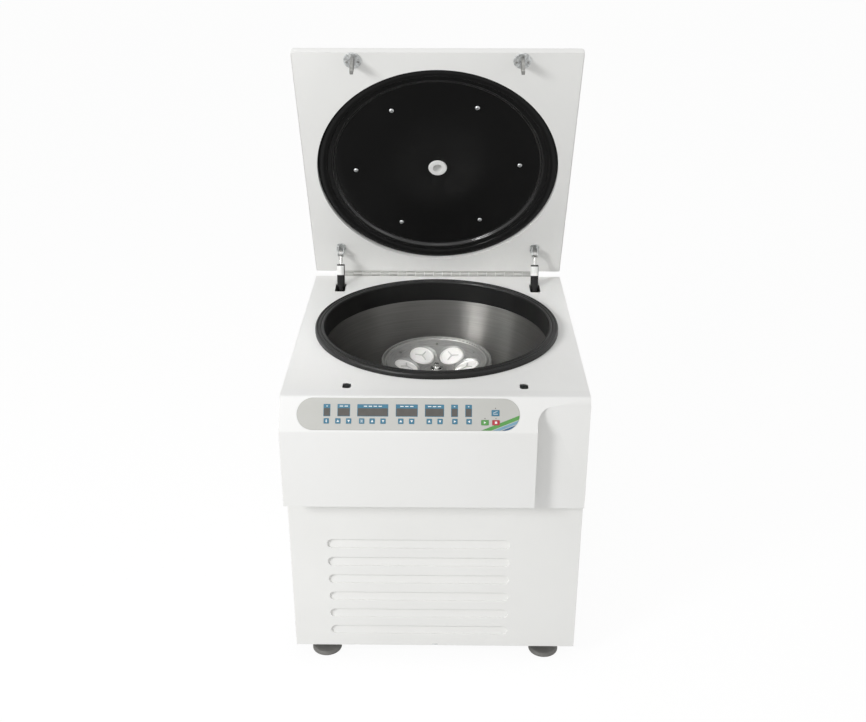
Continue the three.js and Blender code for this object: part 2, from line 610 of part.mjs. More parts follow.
// Places a piece made upright on its own axis, cap end at zero, into the rotor's tilted seat
function seated(solid, angle) {
  const outward = [Math.sin(angle), Math.cos(angle)];
  const geometry = geometryOf(solid);
  geometry.rotateX(rotor.tilt);
  geometry.translate(0, bottle.capCircle, -bottle.capDrop);
  geometry.rotateZ(Math.atan2(-outward[0], outward[1]));
  geometry.translate(0, chamberBack, 0);
  return solidOf(geometry);
}

function rotorBody() {
  const [rim, bottom] = [-rotor.rimDrop, -rotor.rimDrop - rotor.height];
  const inner = rotor.rimRadius - rotor.rimWidth;
  const profile = [[rotor.bore, bottom], [rotor.footRadius - rotor.rimWidth, bottom],
    [rotor.footRadius, bottom + rotor.rimWidth], [rotor.footRadius, bottom + rotor.height / 3],
    [rotor.rimRadius, rim - rotor.rimWidth], [rotor.rimRadius, rim - rotor.rimWidth / 4],
    [rotor.rimRadius - rotor.rimWidth / 4, rim], [inner, rim], [inner, rotorFaceAt(inner)],
    [rotor.hubFootRadius, rotorFaceAt(rotor.hubFootRadius)], [rotor.hubRadius, -rotor.hubDrop],
    [rotor.bore, -rotor.hubDrop]];
  let body = turned(profile, rotorFacets, 0, chamberBack);
  const seat = -bottle.capHeight - bottle.length - bottle.play;
  for (const angle of bottleAngles()) {
    const bore = barZ(bottle.radius + bottle.play, seat, overrun, 0, 0, bottleFacets);
    const seatRadius = bottle.capRadius + bottle.play;
    const capSeat = barZ(seatRadius, -bottle.capHeight - clearance, overrun, 0, 0, bottleFacets);
    body = body.subtract(seated(bore.add(capSeat), angle));
  }
  for (let i = 0; i < rotor.bottleCount; i++) {
    const angle = i * 4 * quarterTurn / rotor.bottleCount;
    const face = rotorFaceAt(rotor.dimpleCircle);
    body = body.subtract(barZ(rotor.dimpleRadius, face - rotor.dimpleDepth, face + overrun,
      rotor.dimpleCircle * Math.sin(angle), chamberBack + rotor.dimpleCircle * Math.cos(angle), smallFacets));
  }
  return piece('rotor', body, finishes.anodised);
}

function rotorScrew() {
  const seat = -rotor.hubDrop + clearance;
  const top = seat + holdScrew.headHeight;
  const round = holdScrew.edgeRound;
  const profile = [[0, seat - holdScrew.stemLength], [holdScrew.stemRadius, seat - holdScrew.stemLength],
    [holdScrew.stemRadius, seat], [holdScrew.headRadius, seat], [holdScrew.headRadius, top - round],
    [holdScrew.headRadius - round, top], [holdScrew.socketRadius, top],
    [holdScrew.socketRadius, top - holdScrew.socketDepth], [0, top - holdScrew.socketDepth]];
  return piece('rotor_screw', turned(profile, barFacets, 0, chamberBack), finishes.steel);
}

function bottles() {
  const neck = -bottle.capHeight;
  const foot = neck - bottle.length;
  const profile = [[0, foot], [bottle.radius - bottle.footRound, foot], [bottle.radius, foot + bottle.footRound],
    [bottle.radius, neck], [bottle.capRadius, neck], [bottle.capRadius, -bottle.capRound],
    [bottle.capRadius - bottle.capRound, 0], [0, 0]];
  const upright = turned(profile, bottleFacets);
  return bottleAngles().map((angle, i) => piece(`bottle_${i + 1}`, seated(upright, angle), finishes.whiteCap));
}

// Refrigeration: condenser with its fan, and the compressor
function condenserBlock() {
  const base = trayTop;
  const half = condenser.width / 2;
  const [front, back] = [condenser.back, condenser.back + condenser.thickness];
  const axis = base + condenserHeight / 2;
  let body = block([-half, front, base], [half, back, base + condenserHeight]);
  const shroudBack = back + condenser.shroudDepth;
  body = body.add(barY(shroudRadius, back - clearance, shroudBack, 0, axis, ringFacets));
  body = body.subtract(barY(shroudRadius - condenser.shroudWall, back, shroudBack + overrun, 0, axis,
    ringFacets));
  const armTop = shroudRadius - condenser.shroudWall / 2;
  body = body.add(block([-condenser.armWidth / 2, back - clearance, axis - armTop],
    [condenser.armWidth / 2, back + condenser.motorLength / 2, axis + armTop]));
  const motorBack = back + condenser.motorLength;
  body = body.add(barY(condenser.motorRadius, back - clearance, motorBack, 0, axis, barFacets));
  body = body.add(barY(condenser.spindleRadius, back, motorBack + condenser.spindleLength, 0, axis));
  return piece('condenser', body, finishes.castGrey);
}

function condenserFan() {
  const axis = trayTop + condenserHeight / 2;
  const front = condenser.back + condenser.thickness + condenser.motorLength + clearance;
  const middleY = front + fan.hubLength / 2;
  const blades = [];
  for (let i = 0; i < fan.blades; i++) {
    const geometry = new THREE.BoxGeometry(fan.chord, fan.bladeThickness, fanRadius - fan.hubRadius / 2);
    geometry.rotateZ(fan.pitch).translate(0, 0, (fanRadius + fan.hubRadius / 2) / 2);
    geometry.rotateY(i * 4 * quarterTurn / fan.blades).translate(0, middleY, axis);
    blades.push(solidOf(geometry));
  }
  const disc = barY(fanRadius, front - fan.hubLength, front + 2 * fan.hubLength, 0, axis, ringFacets);
  let body = joined(blades).intersect(disc);
  body = body.add(barY(fan.hubRadius, front, front + fan.hubLength, 0, axis, barFacets));
  body = body.subtract(barY(fan.bore, front - overrun, front + fan.hubLength + overrun, 0, axis));
  return piece('condenser_fan', body, finishes.blackPlastic);
}

function compressorCan() {
  const base = trayTop;
  const [x, y] = [halfWidth - compressor.sideInset, cabinet.depth - compressor.rearInset];
  const can = base + compressor.plateRise;
  const top = can + compressor.height;
  const shoulder = top - compressor.dome;
  const dome = arc(0, 0, 1, 0, quarterTurn, filletFacets)
    .map(([across, rise]) => [across * compressor.radius, shoulder + rise * compressor.dome]);
  const body = turned([[0, can], [compressor.radius, can], ...dome.slice(0, -1), [0, top]], rotorFacets,
    x, y);
  const [halfX, halfY] = [compressor.plateWidth / 2, compressor.plateDepth / 2];
  const plate = block([x - halfX, y - halfY, can - compressor.plateThickness],
    [x + halfX, y + halfY, can + clearance]);
  const stubs = [];
  for (const [dx, dy] of [[-1, -1], [1, -1], [-1, 1], [1, 1]]) {
    stubs.push(barZ(compressor.stubRadius, base, can, x + dx * (halfX - compressor.stubRadius),
      y + dy * (halfY - compressor.stubRadius)));
  }
  return piece('compressor', joined([body, plate, ...stubs]), finishes.blackPlastic);
}

// Latch: a sliding bar in a channel under the deck, with a nose for each lid hook
function latchChannel() {
  const top = -sheet - clearance;
  const half = hookX + latchBox.endRoom;
  const wall = latchBox.wall;
  let body = block([-half, latchBox.front, -latchBox.drop], [half, latchBox.back, top]);
  body = body.subtract(block([-half - overrun, latchBox.front + wall, wall - latchBox.drop],
    [half + overrun, latchBox.back - wall, top - wall]));
  for (const side of [-1, 1]) {
    body = body.subtract(prismZ(latchHoleOutline(side), top - wall - overrun, top + overrun));
  }
  const coilBottom = wall - latchBox.drop;
  body = body.add(block([half - overrun, latchBox.front + wall, -latchBox.drop],
    [half + latchBox.coilLength, latchBox.back, coilBottom]));
  body = body.add(block([half + overrun, latchBox.front + wall, -latchBox.drop],
    [half + latchBox.coilLength, latchBox.back, coilBottom + latchBox.coilHeight]));
  return piece('latch_channel', body, finishes.zinc);
}

function latchHoleOutline(side) {
  const x = side * hookX;
  return roundedBox(x - latchHole.width / 2, x + latchHole.width / 2, hook.fromFront - latchHole.depth / 2,
    hook.fromFront + latchHole.depth / 2, latchHole.radius);
}

function latchSlide() {
  const floor = latchBox.wall + clearance - latchBox.drop;
  const back = latchBox.back - latchBox.wall - clearance;
  const noseZ = lid.gap - hook.eyeDrop;
  const parts = [block([-hookX - latchBar.nearRoom, back - latchBar.thickness, floor],
    [hookX + latchBar.farRoom, back, floor + latchBar.height])];
  for (const side of [-1, 1]) {
    const tip = side * hookX - hook.plateThickness / 2 - latchBar.noseGap;
    const arm = tip - latchBar.noseLength;
    parts.push(block([arm - latchBar.armWidth, back - latchBar.armDepth - latchBar.thickness, floor],
      [arm, back - latchBar.thickness + clearance, floor + latchBar.height]));
    parts.push(barX(latchBar.noseRadius, arm - clearance, tip, hook.fromFront, noseZ));
  }
  return piece('latch_bar', joined(parts), finishes.steel);
}

// Piano hinge behind the deck
function knuckleSpan(i) {
  const pitch = 2 * hinge.halfLength / hinge.knuckles;
  const start = -hinge.halfLength + i * pitch;
  return [start + clearance / 2, start + pitch - clearance / 2];
}

function hingeLeaf(parity, side, height) {
  const front = clearance - hinge.behind;
  const back = front + hinge.leafThickness;
  const level = (near, far) => (side < 0 ? [-far, -near] : [near, far]);
  const [low, high] = level(hinge.relief, height);
  const parts = [block([-hinge.halfLength, front, low], [hinge.halfLength, back, high])];
  const [tabLow, tabHigh] = level(0, hinge.relief + clearance);
  for (let i = parity; i < hinge.knuckles; i += 2) {
    const [x0, x1] = knuckleSpan(i);
    parts.push(block([x0, front, tabLow], [x1, back, tabHigh]));
    parts.push(barX(hinge.radius, x0, x1, 0, 0, smallFacets));
  }
  return joined(parts);
}

function fixedLeaf() {
  const pin = barX(hinge.pinRadius, -hinge.halfLength, hinge.halfLength, 0, 0, smallFacets);
  const mesh = piece('hinge_fixed_leaf', hingeLeaf(0, -1, hinge.leafHeight).add(pin), finishes.steel);
  mesh.position.set(0, hingeBack, hinge.rise);
  return mesh;
}

function lidLeaf() {
  const end = hinge.halfLength + overrun;
  const bore = barX(hinge.pinRadius + hinge.pinPlay, -end, end, 0, 0, smallFacets);
  return piece('hinge_lid_leaf', hingeLeaf(1, 1, hinge.lidLeafHeight).subtract(bore), finishes.steel);
}

// Lid, drawn closed about the hinge axis and then turned open
function lidOutline(inset, front, rear) {
  return roundedBox(-halfWidth + inset, halfWidth - inset, -hingeBack + front, -hinge.behind - rear, lid.corner);
}

function lidShell() {
  const [low, edge, top] = [lidPlane, lidPlane + lid.edge, lidPlane + lid.thickness];
  const outer = loft([levelRing(lidOutline(0, 0, 0), low), levelRing(lidOutline(0, 0, 0), edge),
    levelRing(lidOutline(lid.sideInset, lid.frontInset, lid.rearInset), top)]);
  const wall = lid.sheet;
  const inner = loft([levelRing(lidOutline(wall, wall, wall), low - overrun),
    levelRing(lidOutline(wall, wall, wall), edge - wall / 2),
    levelRing(lidOutline(lid.sideInset + wall, lid.frontInset + wall, lid.rearInset + wall), top - wall)]);
  const hole = barZ(port.tubeRadius + clearance, low, top + overrun, 0, chamberOnLid, barFacets);
  return piece('lid_shell', outer.subtract(inner).subtract(hole), finishes.whitePaint);
}

function lidInnerPanel() {
  const inset = lid.sheet + clearance;
  const rings = [levelRing(lidOutline(inset, inset, inset), lidPlane),
    levelRing(lidOutline(inset, inset, inset), lidPlane + lid.sheet)];
  const depth = lidPlane + lid.recessDepth;
  const wall = barZ(recessRadius + lid.sheet, lidPlane, depth, 0, chamberOnLid, ringFacets);
  const hole = barZ(recessRadius, lidPlane - overrun, depth + overrun, 0, chamberOnLid, ringFacets);
  return piece('lid_inner_panel', loft(rings).add(wall).subtract(hole), finishes.whitePaint);
}

function lidLiner() {
  const seat = lidPlane + lid.recessDepth + clearance;
  const crest = chamber.ringHeight - hinge.rise + clearance;
  const edge = recessRadius - liner.edgePlay;
  const half = liner.lipWidth / 2;
  const middleR = edge - half;
  const lipTop = seat - liner.lipInnerDrop;
  const bulge = arc(0, 0, 1, 0, 2 * quarterTurn, 2 * filletFacets);
  const under = bulge.map(([across, drop]) => {
    const start = across > 0 ? seat : lipTop;
    return [middleR + across * half, start + drop * (crest - start)];
  });
  const land = edge - liner.lipWidth - liner.landWidth;
  const dish = land - liner.stepWidth;
  const dishZ = lipTop + liner.stepRise;
  const hole = port.tubeRadius + clearance;
  const back = dishZ + liner.thickness;
  const profile = [...under, [land, lipTop], [land - liner.stepWidth / 3, lipTop + liner.stepRise / 4],
    [dish + liner.stepWidth / 3, dishZ - liner.stepRise / 4], [dish, dishZ], [hole, dishZ], [hole, back],
    [edge - half, back], [recessRadius + lid.sheet, seat + liner.thickness],
    [recessRadius + lid.sheet, seat]];
  return piece('lid_liner', turned(profile, ringFacets, 0, chamberOnLid), finishes.blackPlastic);
}

function viewPort() {
  const seat = lidPlane + lid.recessDepth - liner.lipInnerDrop + liner.stepRise;
  const bottom = seat - port.flangeHeight;
  const top = lidPlane + lid.thickness + port.proud;
  const profile = [[port.boreRadius, bottom], [port.flangeRadius - port.proud, bottom],
    [port.flangeRadius, bottom + port.proud], [port.flangeRadius, seat], [port.tubeRadius, seat],
    [port.tubeRadius, top], [port.boreRadius, top]];
  return piece('view_port', turned(profile, barFacets, 0, chamberOnLid), finishes.whitePlastic);
}

function hookPiece(name, side) {
  const x = side * hookX;
  const y = hook.fromFront - hingeBack;
  const seat = lidPlane - clearance;
  const flange = barZ(hook.flangeRadius, seat - hook.flangeThickness, seat, x, y, barFacets);
  const [base, tip, shoulder] = [hook.baseWidth / 2, hook.tipWidth / 2, lidPlane - hook.shoulder];
  const end = lidPlane - hook.length;
  const outline = [[y - base, seat - hook.flangeThickness + clearance], [y - base, shoulder],
    [y - tip, end], [y + tip, end], [y + base, shoulder], [y + base, seat - hook.flangeThickness + clearance]];
  const plate = prismX(outline, x - hook.plateThickness / 2, x + hook.plateThickness / 2);
  const eyeZ = lidPlane - hook.eyeDrop;
  const eye = prismX(roundedBox(y - hook.eyeWidth / 2, y + hook.eyeWidth / 2, eyeZ - hook.eyeHeight / 2,
    eyeZ + hook.eyeHeight / 2, hook.eyeRound), x - hook.plateThickness, x + hook.plateThickness);
  return piece(name, flange.add(plate).subtract(eye), finishes.zinc);
}

// Gas struts: the cylinder hangs from the lid bracket and its rod goes down to the cabinet side
function eyePlace() {
  return [-strut.fromAxis, lidPlane - strut.standoff];
}

function bracketPiece(name, side) {
  const x = side * strutX;
  const [y, z] = eyePlace();
  const seat = lidPlane - clearance;
  const [halfX, halfY] = [strutBracket.width / 2, strutBracket.length / 2];
  const base = prismZ(roundedBox(x - halfX, x + halfX, y - halfY, y + halfY, strutBracket.round, filletFacets),
    seat - strutBracket.thickness, seat);
  const inner = strut.eyeThickness / 2 + clearance;
  const parts = [base];
  const half = strutBracket.lugWidth / 2;
  for (const hand of [-1, 1]) {
    const [near, far] = spanX(hand, inner, inner + strutBracket.lugThickness);
    const root = seat - strutBracket.thickness + clearance;
    const nose = arc(y, z, half, -2 * quarterTurn, 0, 2 * filletFacets);
    parts.push(prismX([[y - half, root], ...nose, [y + half, root]], x + near, x + far));
  }
  const reach = inner + strutBracket.lugThickness;
  parts.push(barX(strut.pinRadius, x - reach, x + reach, y, z));
  return piece(name, joined(parts), finishes.zinc);
}

function strutFrame(side) {
  const [y, z] = eyePlace();
  const eyeY = hingeBack + y * Math.cos(lid.open) + z * Math.sin(lid.open);
  const eyeZ = hinge.rise - y * Math.sin(lid.open) + z * Math.cos(lid.open);
  const reach = [strutFootBack - eyeY, -strut.footDrop - eyeZ];
  const group = new THREE.Group();
  group.position.set(side * strutX, eyeY, eyeZ);
  group.rotation.x = Math.atan2(reach[1], reach[0]) + quarterTurn;
  return { group, span: Math.hypot(...reach) };
}

function strutParts(side, word) {
  const { group, span } = strutFrame(side);
  const half = strut.eyeThickness / 2;
  const [start, end] = [-strut.shankLength, -strut.shankLength - strut.length];
  const bore = strut.radius - strut.wall;
  const rodHole = strut.rodRadius + strut.play;
  const tube = turned([[0, start], [0, start - strut.guide], [bore, start - strut.guide],
    [bore, end + strut.guide], [rodHole, end + strut.guide], [rodHole, end], [strut.radius, end],
    [strut.radius, start]], barFacets);
  const shank = barZ(strut.shankRadius, start - clearance, -strut.pinRadius - strut.play * 2, 0, 0);
  const eye = barX(strut.eyeRadius, -half, half, 0, 0);
  const hole = barX(strut.pinRadius + strut.play, -half - overrun, half + overrun, 0, 0);
  group.add(piece(`strut_cylinder_${word}`, joined([tube, shank, eye]).subtract(hole), finishes.blackPlastic));

  const pistonTop = end + strut.pistonInside;
  const rodEnd = barZ(strut.rodRadius, -span, pistonTop, 0, 0, barFacets);
  const piston = barZ(bore - strut.play, pistonTop, pistonTop + strut.pistonHeight, 0, 0, barFacets);
  const foot = barX(strut.eyeRadius, -half, half, 0, -span);
  group.add(piece(`strut_rod_${word}`, joined([rodEnd, piston, foot]), finishes.steel));
  return group;
}

function lidGroup() {
  const group = new THREE.Group();
  group.position.set(0, hingeBack, hinge.rise);
  group.rotation.x = -lid.open;
  group.add(lidShell(), lidInnerPanel(), lidLiner(), viewPort(), lidLeaf(), hookPiece('hook_left', -1),
    hookPiece('hook_right', 1), bracketPiece('strut_bracket_left', -1), bracketPiece('strut_bracket_right', 1));
  return group;
}

// The whole machine, standing on its feet with the middle of its plan at the origin
const deckFrame = new THREE.Group();
deckFrame.position.set(0, -middle, deckTop);
deckFrame.add(baseTray(), ...feet(), frontPanel(), sidePanel('side_panel_left', -1),
  sidePanel('side_panel_right', 1), rearPanel(), deckPlate(), frontCover(), controlPanel(),
  ...chamberParts(), motorShelf(), driveMotor(), driveShaft(), rotorBody(), rotorScrew(), ...bottles(),
  condenserBlock(), condenserFan(), compressorCan(), latchChannel(), latchSlide(), fixedLeaf(), lidGroup(),
  strutParts(-1, 'left'), strutParts(1, 'right'));

const centrifuge = new THREE.Group();
centrifuge.add(deckFrame);

export default centrifuge;
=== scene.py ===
import json
import math

import bmesh
import bpy
from mathutils import Matrix, Vector


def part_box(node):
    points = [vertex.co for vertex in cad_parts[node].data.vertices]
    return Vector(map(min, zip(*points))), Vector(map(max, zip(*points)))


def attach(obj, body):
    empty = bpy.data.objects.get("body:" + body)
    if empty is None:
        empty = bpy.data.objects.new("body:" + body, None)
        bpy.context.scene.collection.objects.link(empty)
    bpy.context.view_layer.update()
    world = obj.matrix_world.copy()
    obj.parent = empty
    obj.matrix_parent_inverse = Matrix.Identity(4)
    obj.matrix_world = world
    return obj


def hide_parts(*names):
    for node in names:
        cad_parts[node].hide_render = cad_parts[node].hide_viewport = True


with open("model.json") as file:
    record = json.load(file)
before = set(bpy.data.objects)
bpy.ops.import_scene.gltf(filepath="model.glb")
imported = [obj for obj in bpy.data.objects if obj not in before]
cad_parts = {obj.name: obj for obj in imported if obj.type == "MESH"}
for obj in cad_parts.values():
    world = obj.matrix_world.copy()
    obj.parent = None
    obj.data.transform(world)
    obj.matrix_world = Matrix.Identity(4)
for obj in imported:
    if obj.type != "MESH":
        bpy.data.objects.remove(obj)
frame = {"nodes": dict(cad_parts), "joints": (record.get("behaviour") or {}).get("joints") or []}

# Sizes in the dictionaries are in millimetres and the helpers turn them into metres.
# Deck frame: x to the right, y to the back from the deck's front edge, z up from the deck's top.
# Lid frame: the same axes about the hinge line, with the lid drawn closed.
# Panel frame: x along the key panel, y up its slope, z out of its face.
mm = 0.001
fullTurn = 2 * math.pi
weldGap = 2e-6
# How far tools reach past a sheet that they cut
past = 9
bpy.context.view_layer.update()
joints = {joint["name"]: joint for joint in frame["joints"]}

deckLow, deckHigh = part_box("deck_plate")
deckPlace = Matrix.Translation((0, deckLow.y, deckHigh.z))
hingeLine = Vector(joints["lid_hinge"]["pos_m"])
lidOpen = math.radians(65.6)
lidPlace = Matrix.Translation(hingeLine) @ Matrix.Rotation(-lidOpen, 4, "X")
panelLow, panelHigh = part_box("control_overlay")
panelDrop, panelRun = 66, 48
panelSlope = math.atan2(panelDrop, panelRun)
panelNormal = Vector((0, -math.sin(panelSlope), math.cos(panelSlope)))
panelPlace = Matrix.Translation((panelLow + panelHigh) / 2 + panelNormal * 2 * mm)
panelPlace = panelPlace @ Matrix.Rotation(panelSlope, 4, "X")
chamberAxis = 364
chamberPlace = deckPlace @ Matrix.Translation((0, chamberAxis * mm, 0))

# Camera at the photograph's viewing angle
view = {"lens": 45.225, "place": (0.0218, -2.5588, 1.8675), "down": 64.825, "turn": 0.695}
bpy.ops.object.camera_add(location=view["place"],
                          rotation=(math.radians(view["down"]), 0, math.radians(view["turn"])))
camera = bpy.context.object
camera.name = "photoCamera"
camera.data.lens = view["lens"]
camera.data.sensor_width = 36
bpy.context.scene.camera = camera
bpy.context.scene.view_settings.view_transform = "Standard"
print("camera set")


# Selecting and editing
def clearSelection():
    bpy.ops.object.select_all(action="DESELECT")


def onlyThis(piece):
    clearSelection()
    piece.select_set(True)
    bpy.context.view_layer.objects.active = piece


def startEditing(piece, kind="VERT"):
    onlyThis(piece)
    bpy.ops.object.mode_set(mode="EDIT")
    bpy.ops.mesh.select_mode(type=kind)
    bpy.ops.mesh.select_all(action="DESELECT")
    return bmesh.from_edit_mesh(piece.data)


def stopEditing():
    bpy.ops.object.mode_set(mode="OBJECT")


def pickAll():
    bpy.ops.mesh.select_all(action="SELECT")


def weldAll():
    pickAll()
    bpy.ops.mesh.remove_doubles(threshold=weldGap)


def extrude(step):
    bpy.ops.mesh.extrude_region_move(TRANSFORM_OT_translate={"value": step})


def faceOutward():
    pickAll()
    bpy.ops.mesh.normals_make_consistent(inside=False)
    stopEditing()


def pickFaces(piece, test):
    mesh = startEditing(piece, "FACE")
    for face in mesh.faces:
        face.select_set(test(face.calc_center_median() / mm, face.normal))
    bmesh.update_edit_mesh(piece.data)


def settle(piece, place):
    onlyThis(piece)
    piece.matrix_world = place
    bpy.ops.object.transform_apply(location=True, rotation=True, scale=True)
    return piece


def shifted(x, y, z):
    return Matrix.Translation((x * mm, y * mm, z * mm))


# Starting shapes
def addBlock(name, low, high):
    clearSelection()
    middle = [(a + b) / 2 * mm for a, b in zip(low, high)]
    bpy.ops.mesh.primitive_cube_add(size=1, location=middle)
    block = bpy.context.object
    block.name = name
    block.scale = [(b - a) * mm for a, b in zip(low, high)]
    bpy.ops.object.transform_apply(location=True, rotation=False, scale=True)
    return block


def addBar(name, radius, low, high, along, across, sides=48):
    axis = "XYZ".index(along)
    place = list(across)
    place.insert(axis, (low + high) / 2)
    turn = {"X": (0, math.pi / 2, 0), "Y": (math.pi / 2, 0, 0), "Z": (0, 0, 0)}[along]
    clearSelection()
    bpy.ops.mesh.primitive_cylinder_add(vertices=sides, radius=radius * mm, depth=(high - low) * mm,
                                        location=[value * mm for value in place], rotation=turn)
    bar = bpy.context.object
    bar.name = name
    bpy.ops.object.transform_apply(location=True, rotation=True, scale=False)
    return bar


def tracedLine(name, points):
    clearSelection()
    bpy.ops.mesh.primitive_plane_add(size=mm)
    line = bpy.context.object
    line.name = name
    startEditing(line)
    pickAll()
    bpy.ops.mesh.merge(type="CENTER")
    bpy.ops.transform.translate(value=Vector(points[0]) * mm)
    for before, after in zip(points, points[1:]):
        extrude((Vector(after) - Vector(before)) * mm)
    weldAll()
    return line


def addPrism(name, outline, along, low, high):
    axis = "XYZ".index(along)
    points = [list(across) for across in outline]
    for point in points:
        point.insert(axis, low)
    prism = tracedLine(name, points + points[:1])
    bpy.ops.mesh.edge_face_add()
    step = [0, 0, 0]
    step[axis] = (high - low) * mm
    extrude(step)
    faceOutward()
    return prism


def addTurned(name, profile, steps, ring=True):
    points = [(radius, 0, height) for radius, height in profile]
    if ring:
        points.append(points[0])
    turned = tracedLine(name, points)
    bpy.ops.mesh.spin(steps=steps, angle=fullTurn, center=(0, 0, 0), axis=(0, 0, 1))
    weldAll()
    faceOutward()
    return turned


# A turned solid whose profile starts and ends on the axis
def addSolid(name, profile, corner, steps):
    return addTurned(name, softened(profile, corner, ring=False), steps, ring=False)


# Outlines: a corner's third number is its rounding
def softened(points, steps=5, ring=True):
    outline = []
    for i, point in enumerate(points):
        corner = Vector(point[:2])
        atEnd = not ring and i in (0, len(points) - 1)
        if len(point) < 3 or atEnd:
            outline.append(tuple(corner))
            continue
        radius = point[2]
        toBefore = (Vector(points[i - 1][:2]) - corner).normalized()
        toAfter = (Vector(points[(i + 1) % len(points)][:2]) - corner).normalized()
        half = toBefore.angle(toAfter) / 2
        centre = corner + (toBefore + toAfter).normalized() * radius / math.sin(half)
        start = corner + toBefore * radius / math.tan(half) - centre
        end = corner + toAfter * radius / math.tan(half) - centre
        first = math.atan2(start.y, start.x)
        sweep = (math.atan2(end.y, end.x) - first + math.pi) % fullTurn - math.pi
        for step in range(steps + 1):
            angle = first + sweep * step / steps
            outline.append((centre.x + radius * math.cos(angle), centre.y + radius * math.sin(angle)))
    return outline


def arc(radius, start, stop, steps, x=0, y=0):
    turns = [math.radians(start + (stop - start) * i / steps) for i in range(steps + 1)]
    return [(x + radius * math.cos(turn), y + radius * math.sin(turn)) for turn in turns]


def boxOutline(x0, x1, y0, y1, radius, steps=5):
    corners = [(x0, y0, radius), (x1, y0, radius), (x1, y1, radius), (x0, y1, radius)]
    return softened(corners, steps)


def capsule(x0, x1, y0, y1, steps=12):
    return boxOutline(x0, x1, y0, y1, (y1 - y0) / 2, steps)


# Shaping
def altered(piece, kind, **settings):
    onlyThis(piece)
    bpy.ops.object.modifier_add(type=kind)
    change = piece.modifiers[-1]
    for name, value in settings.items():
        setattr(change, name, value)
    bpy.ops.object.modifier_apply(modifier=change.name)
    return piece


def reshape(piece, tool, operation):
    altered(piece, "BOOLEAN", operation=operation, solver="EXACT", object=tool)
    bpy.data.objects.remove(tool)
    return piece


def cutAway(piece, tool):
    return reshape(piece, tool, "DIFFERENCE")


def joinOn(piece, tool):
    return reshape(piece, tool, "UNION")


def keepWithin(piece, tool):
    return reshape(piece, tool, "INTERSECT")


def cutCross(head, long, half, low, high):
    for x, y in ((long, half), (half, long)):
        cutAway(head, addBlock("slot", (-x, -y, low), (x, y, high)))


def roundEdges(piece, width, segments=3, angle=35):
    return altered(piece, "BEVEL", width=width * mm, segments=segments, limit_method="ANGLE",
                   angle_limit=math.radians(angle))


def roundPicked(piece, width, test, segments=3):
    mesh = startEditing(piece, "EDGE")
    for edge in mesh.edges:
        middle = (edge.verts[0].co + edge.verts[1].co) / 2 / mm
        folded = len(edge.link_faces) == 2 and edge.calc_face_angle() > math.radians(30)
        edge.select_set(folded and test(middle))
    bmesh.update_edit_mesh(piece.data)
    bpy.ops.mesh.bevel(offset=width * mm, segments=segments, affect="EDGES", clamp_overlap=True)
    stopEditing()


def softenedCopy(node, name, width):
    piece = copyOf(frame["nodes"][node], name)
    startEditing(piece)
    weldAll()
    bpy.ops.mesh.dissolve_limited(angle_limit=math.radians(0.5))
    stopEditing()
    return roundEdges(piece, width, 2, 50)


def copyOf(piece, name):
    onlyThis(piece)
    bpy.ops.object.duplicate()
    copy = bpy.context.object
    copy.name = name
    return copy


def grouped(name, pieces):
    clearSelection()
    for piece in pieces:
        piece.select_set(True)
    bpy.context.view_layer.objects.active = pieces[0]
    if len(pieces) > 1:
        bpy.ops.object.join()
    whole = bpy.context.object
    whole.name = name
    return whole


def coat(piece, material):
    piece.data.materials.clear()
    piece.data.materials.append(finishes[material])
    return piece


def finishPiece(piece, material, body, stands=(), angle=35):
    onlyThis(piece)
    bpy.ops.object.shade_smooth_by_angle(angle=math.radians(angle))
    altered(piece, "WEIGHTED_NORMAL", keep_sharp=True)
    if material:
        coat(piece, material)
    piece.data.name = piece.name
    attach(piece, body)
    if stands:
        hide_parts(*stands)


# Materials, kept by name
finishes = {}


def tone(red, green, blue):
    shares = [value / 255 for value in (red, green, blue)]
    return [((share + 0.055) / 1.055) ** 2.4 for share in shares] + [1]


def linked(tree, source, target):
    tree.links.new(source, target)


def setInputs(node, values):
    for name, value in values.items():
        node.inputs[name].default_value = value
    return node


def addNode(tree, kind, values=()):
    return setInputs(tree.nodes.new("ShaderNode" + kind), dict(values))


def startMaterial(name):
    material = bpy.data.materials.new(name)
    material.use_nodes = True
    finishes[name] = material
    return material.node_tree, material.node_tree.nodes["Principled BSDF"]


def startFinish(name, look):
    tree, shader = startMaterial(name)
    setInputs(shader, {"Metallic": look.get("metallic", 0), "Specular IOR Level": look.get("specular", 0.5)})
    place = addNode(tree, "TexCoord")
    mapping = addNode(tree, "Mapping", {"Scale": look.get("stretch", (1, 1, 1))})
    linked(tree, place.outputs["Object"], mapping.inputs["Vector"])
    return tree, shader, mapping.outputs["Vector"]


def addNoise(tree, vector, scale, detail):
    noise = addNode(tree, "TexNoise", {"Scale": scale, "Detail": detail})
    linked(tree, vector, noise.inputs["Vector"])
    return noise.outputs["Fac"]


# Colour, roughness and relief each from a pattern of light and dark
def dress(tree, shader, look, colouring, roughening, lifting):
    ramp = addNode(tree, "ValToRGB")
    for stop, colour, place in zip(ramp.color_ramp.elements, (look["colour"], look["tint"]), (0.35, 0.65)):
        stop.color = tone(*colour)
        stop.position = place
    low, high = look["roughness"]
    spread = addNode(tree, "MapRange", {"From Min": 0.3, "From Max": 0.7, "To Min": low, "To Max": high})
    bump = addNode(tree, "Bump", {"Strength": look["relief"], "Distance": look["depth"] * mm})
    for source, node, into, out, goal in ((colouring, ramp, "Fac", "Color", "Base Color"),
                                          (roughening, spread, "Value", "Result", "Roughness"),
                                          (lifting, bump, "Height", "Normal", "Normal")):
        linked(tree, source, node.inputs[into])
        linked(tree, node.outputs[out], shader.inputs[goal])


def grainFinish(name, look):
    tree, shader, vector = startFinish(name, look)
    patches = addNoise(tree, vector, look["patch"], 3)
    dress(tree, shader, look, patches, patches, addNoise(tree, vector, look["grain"], 2))


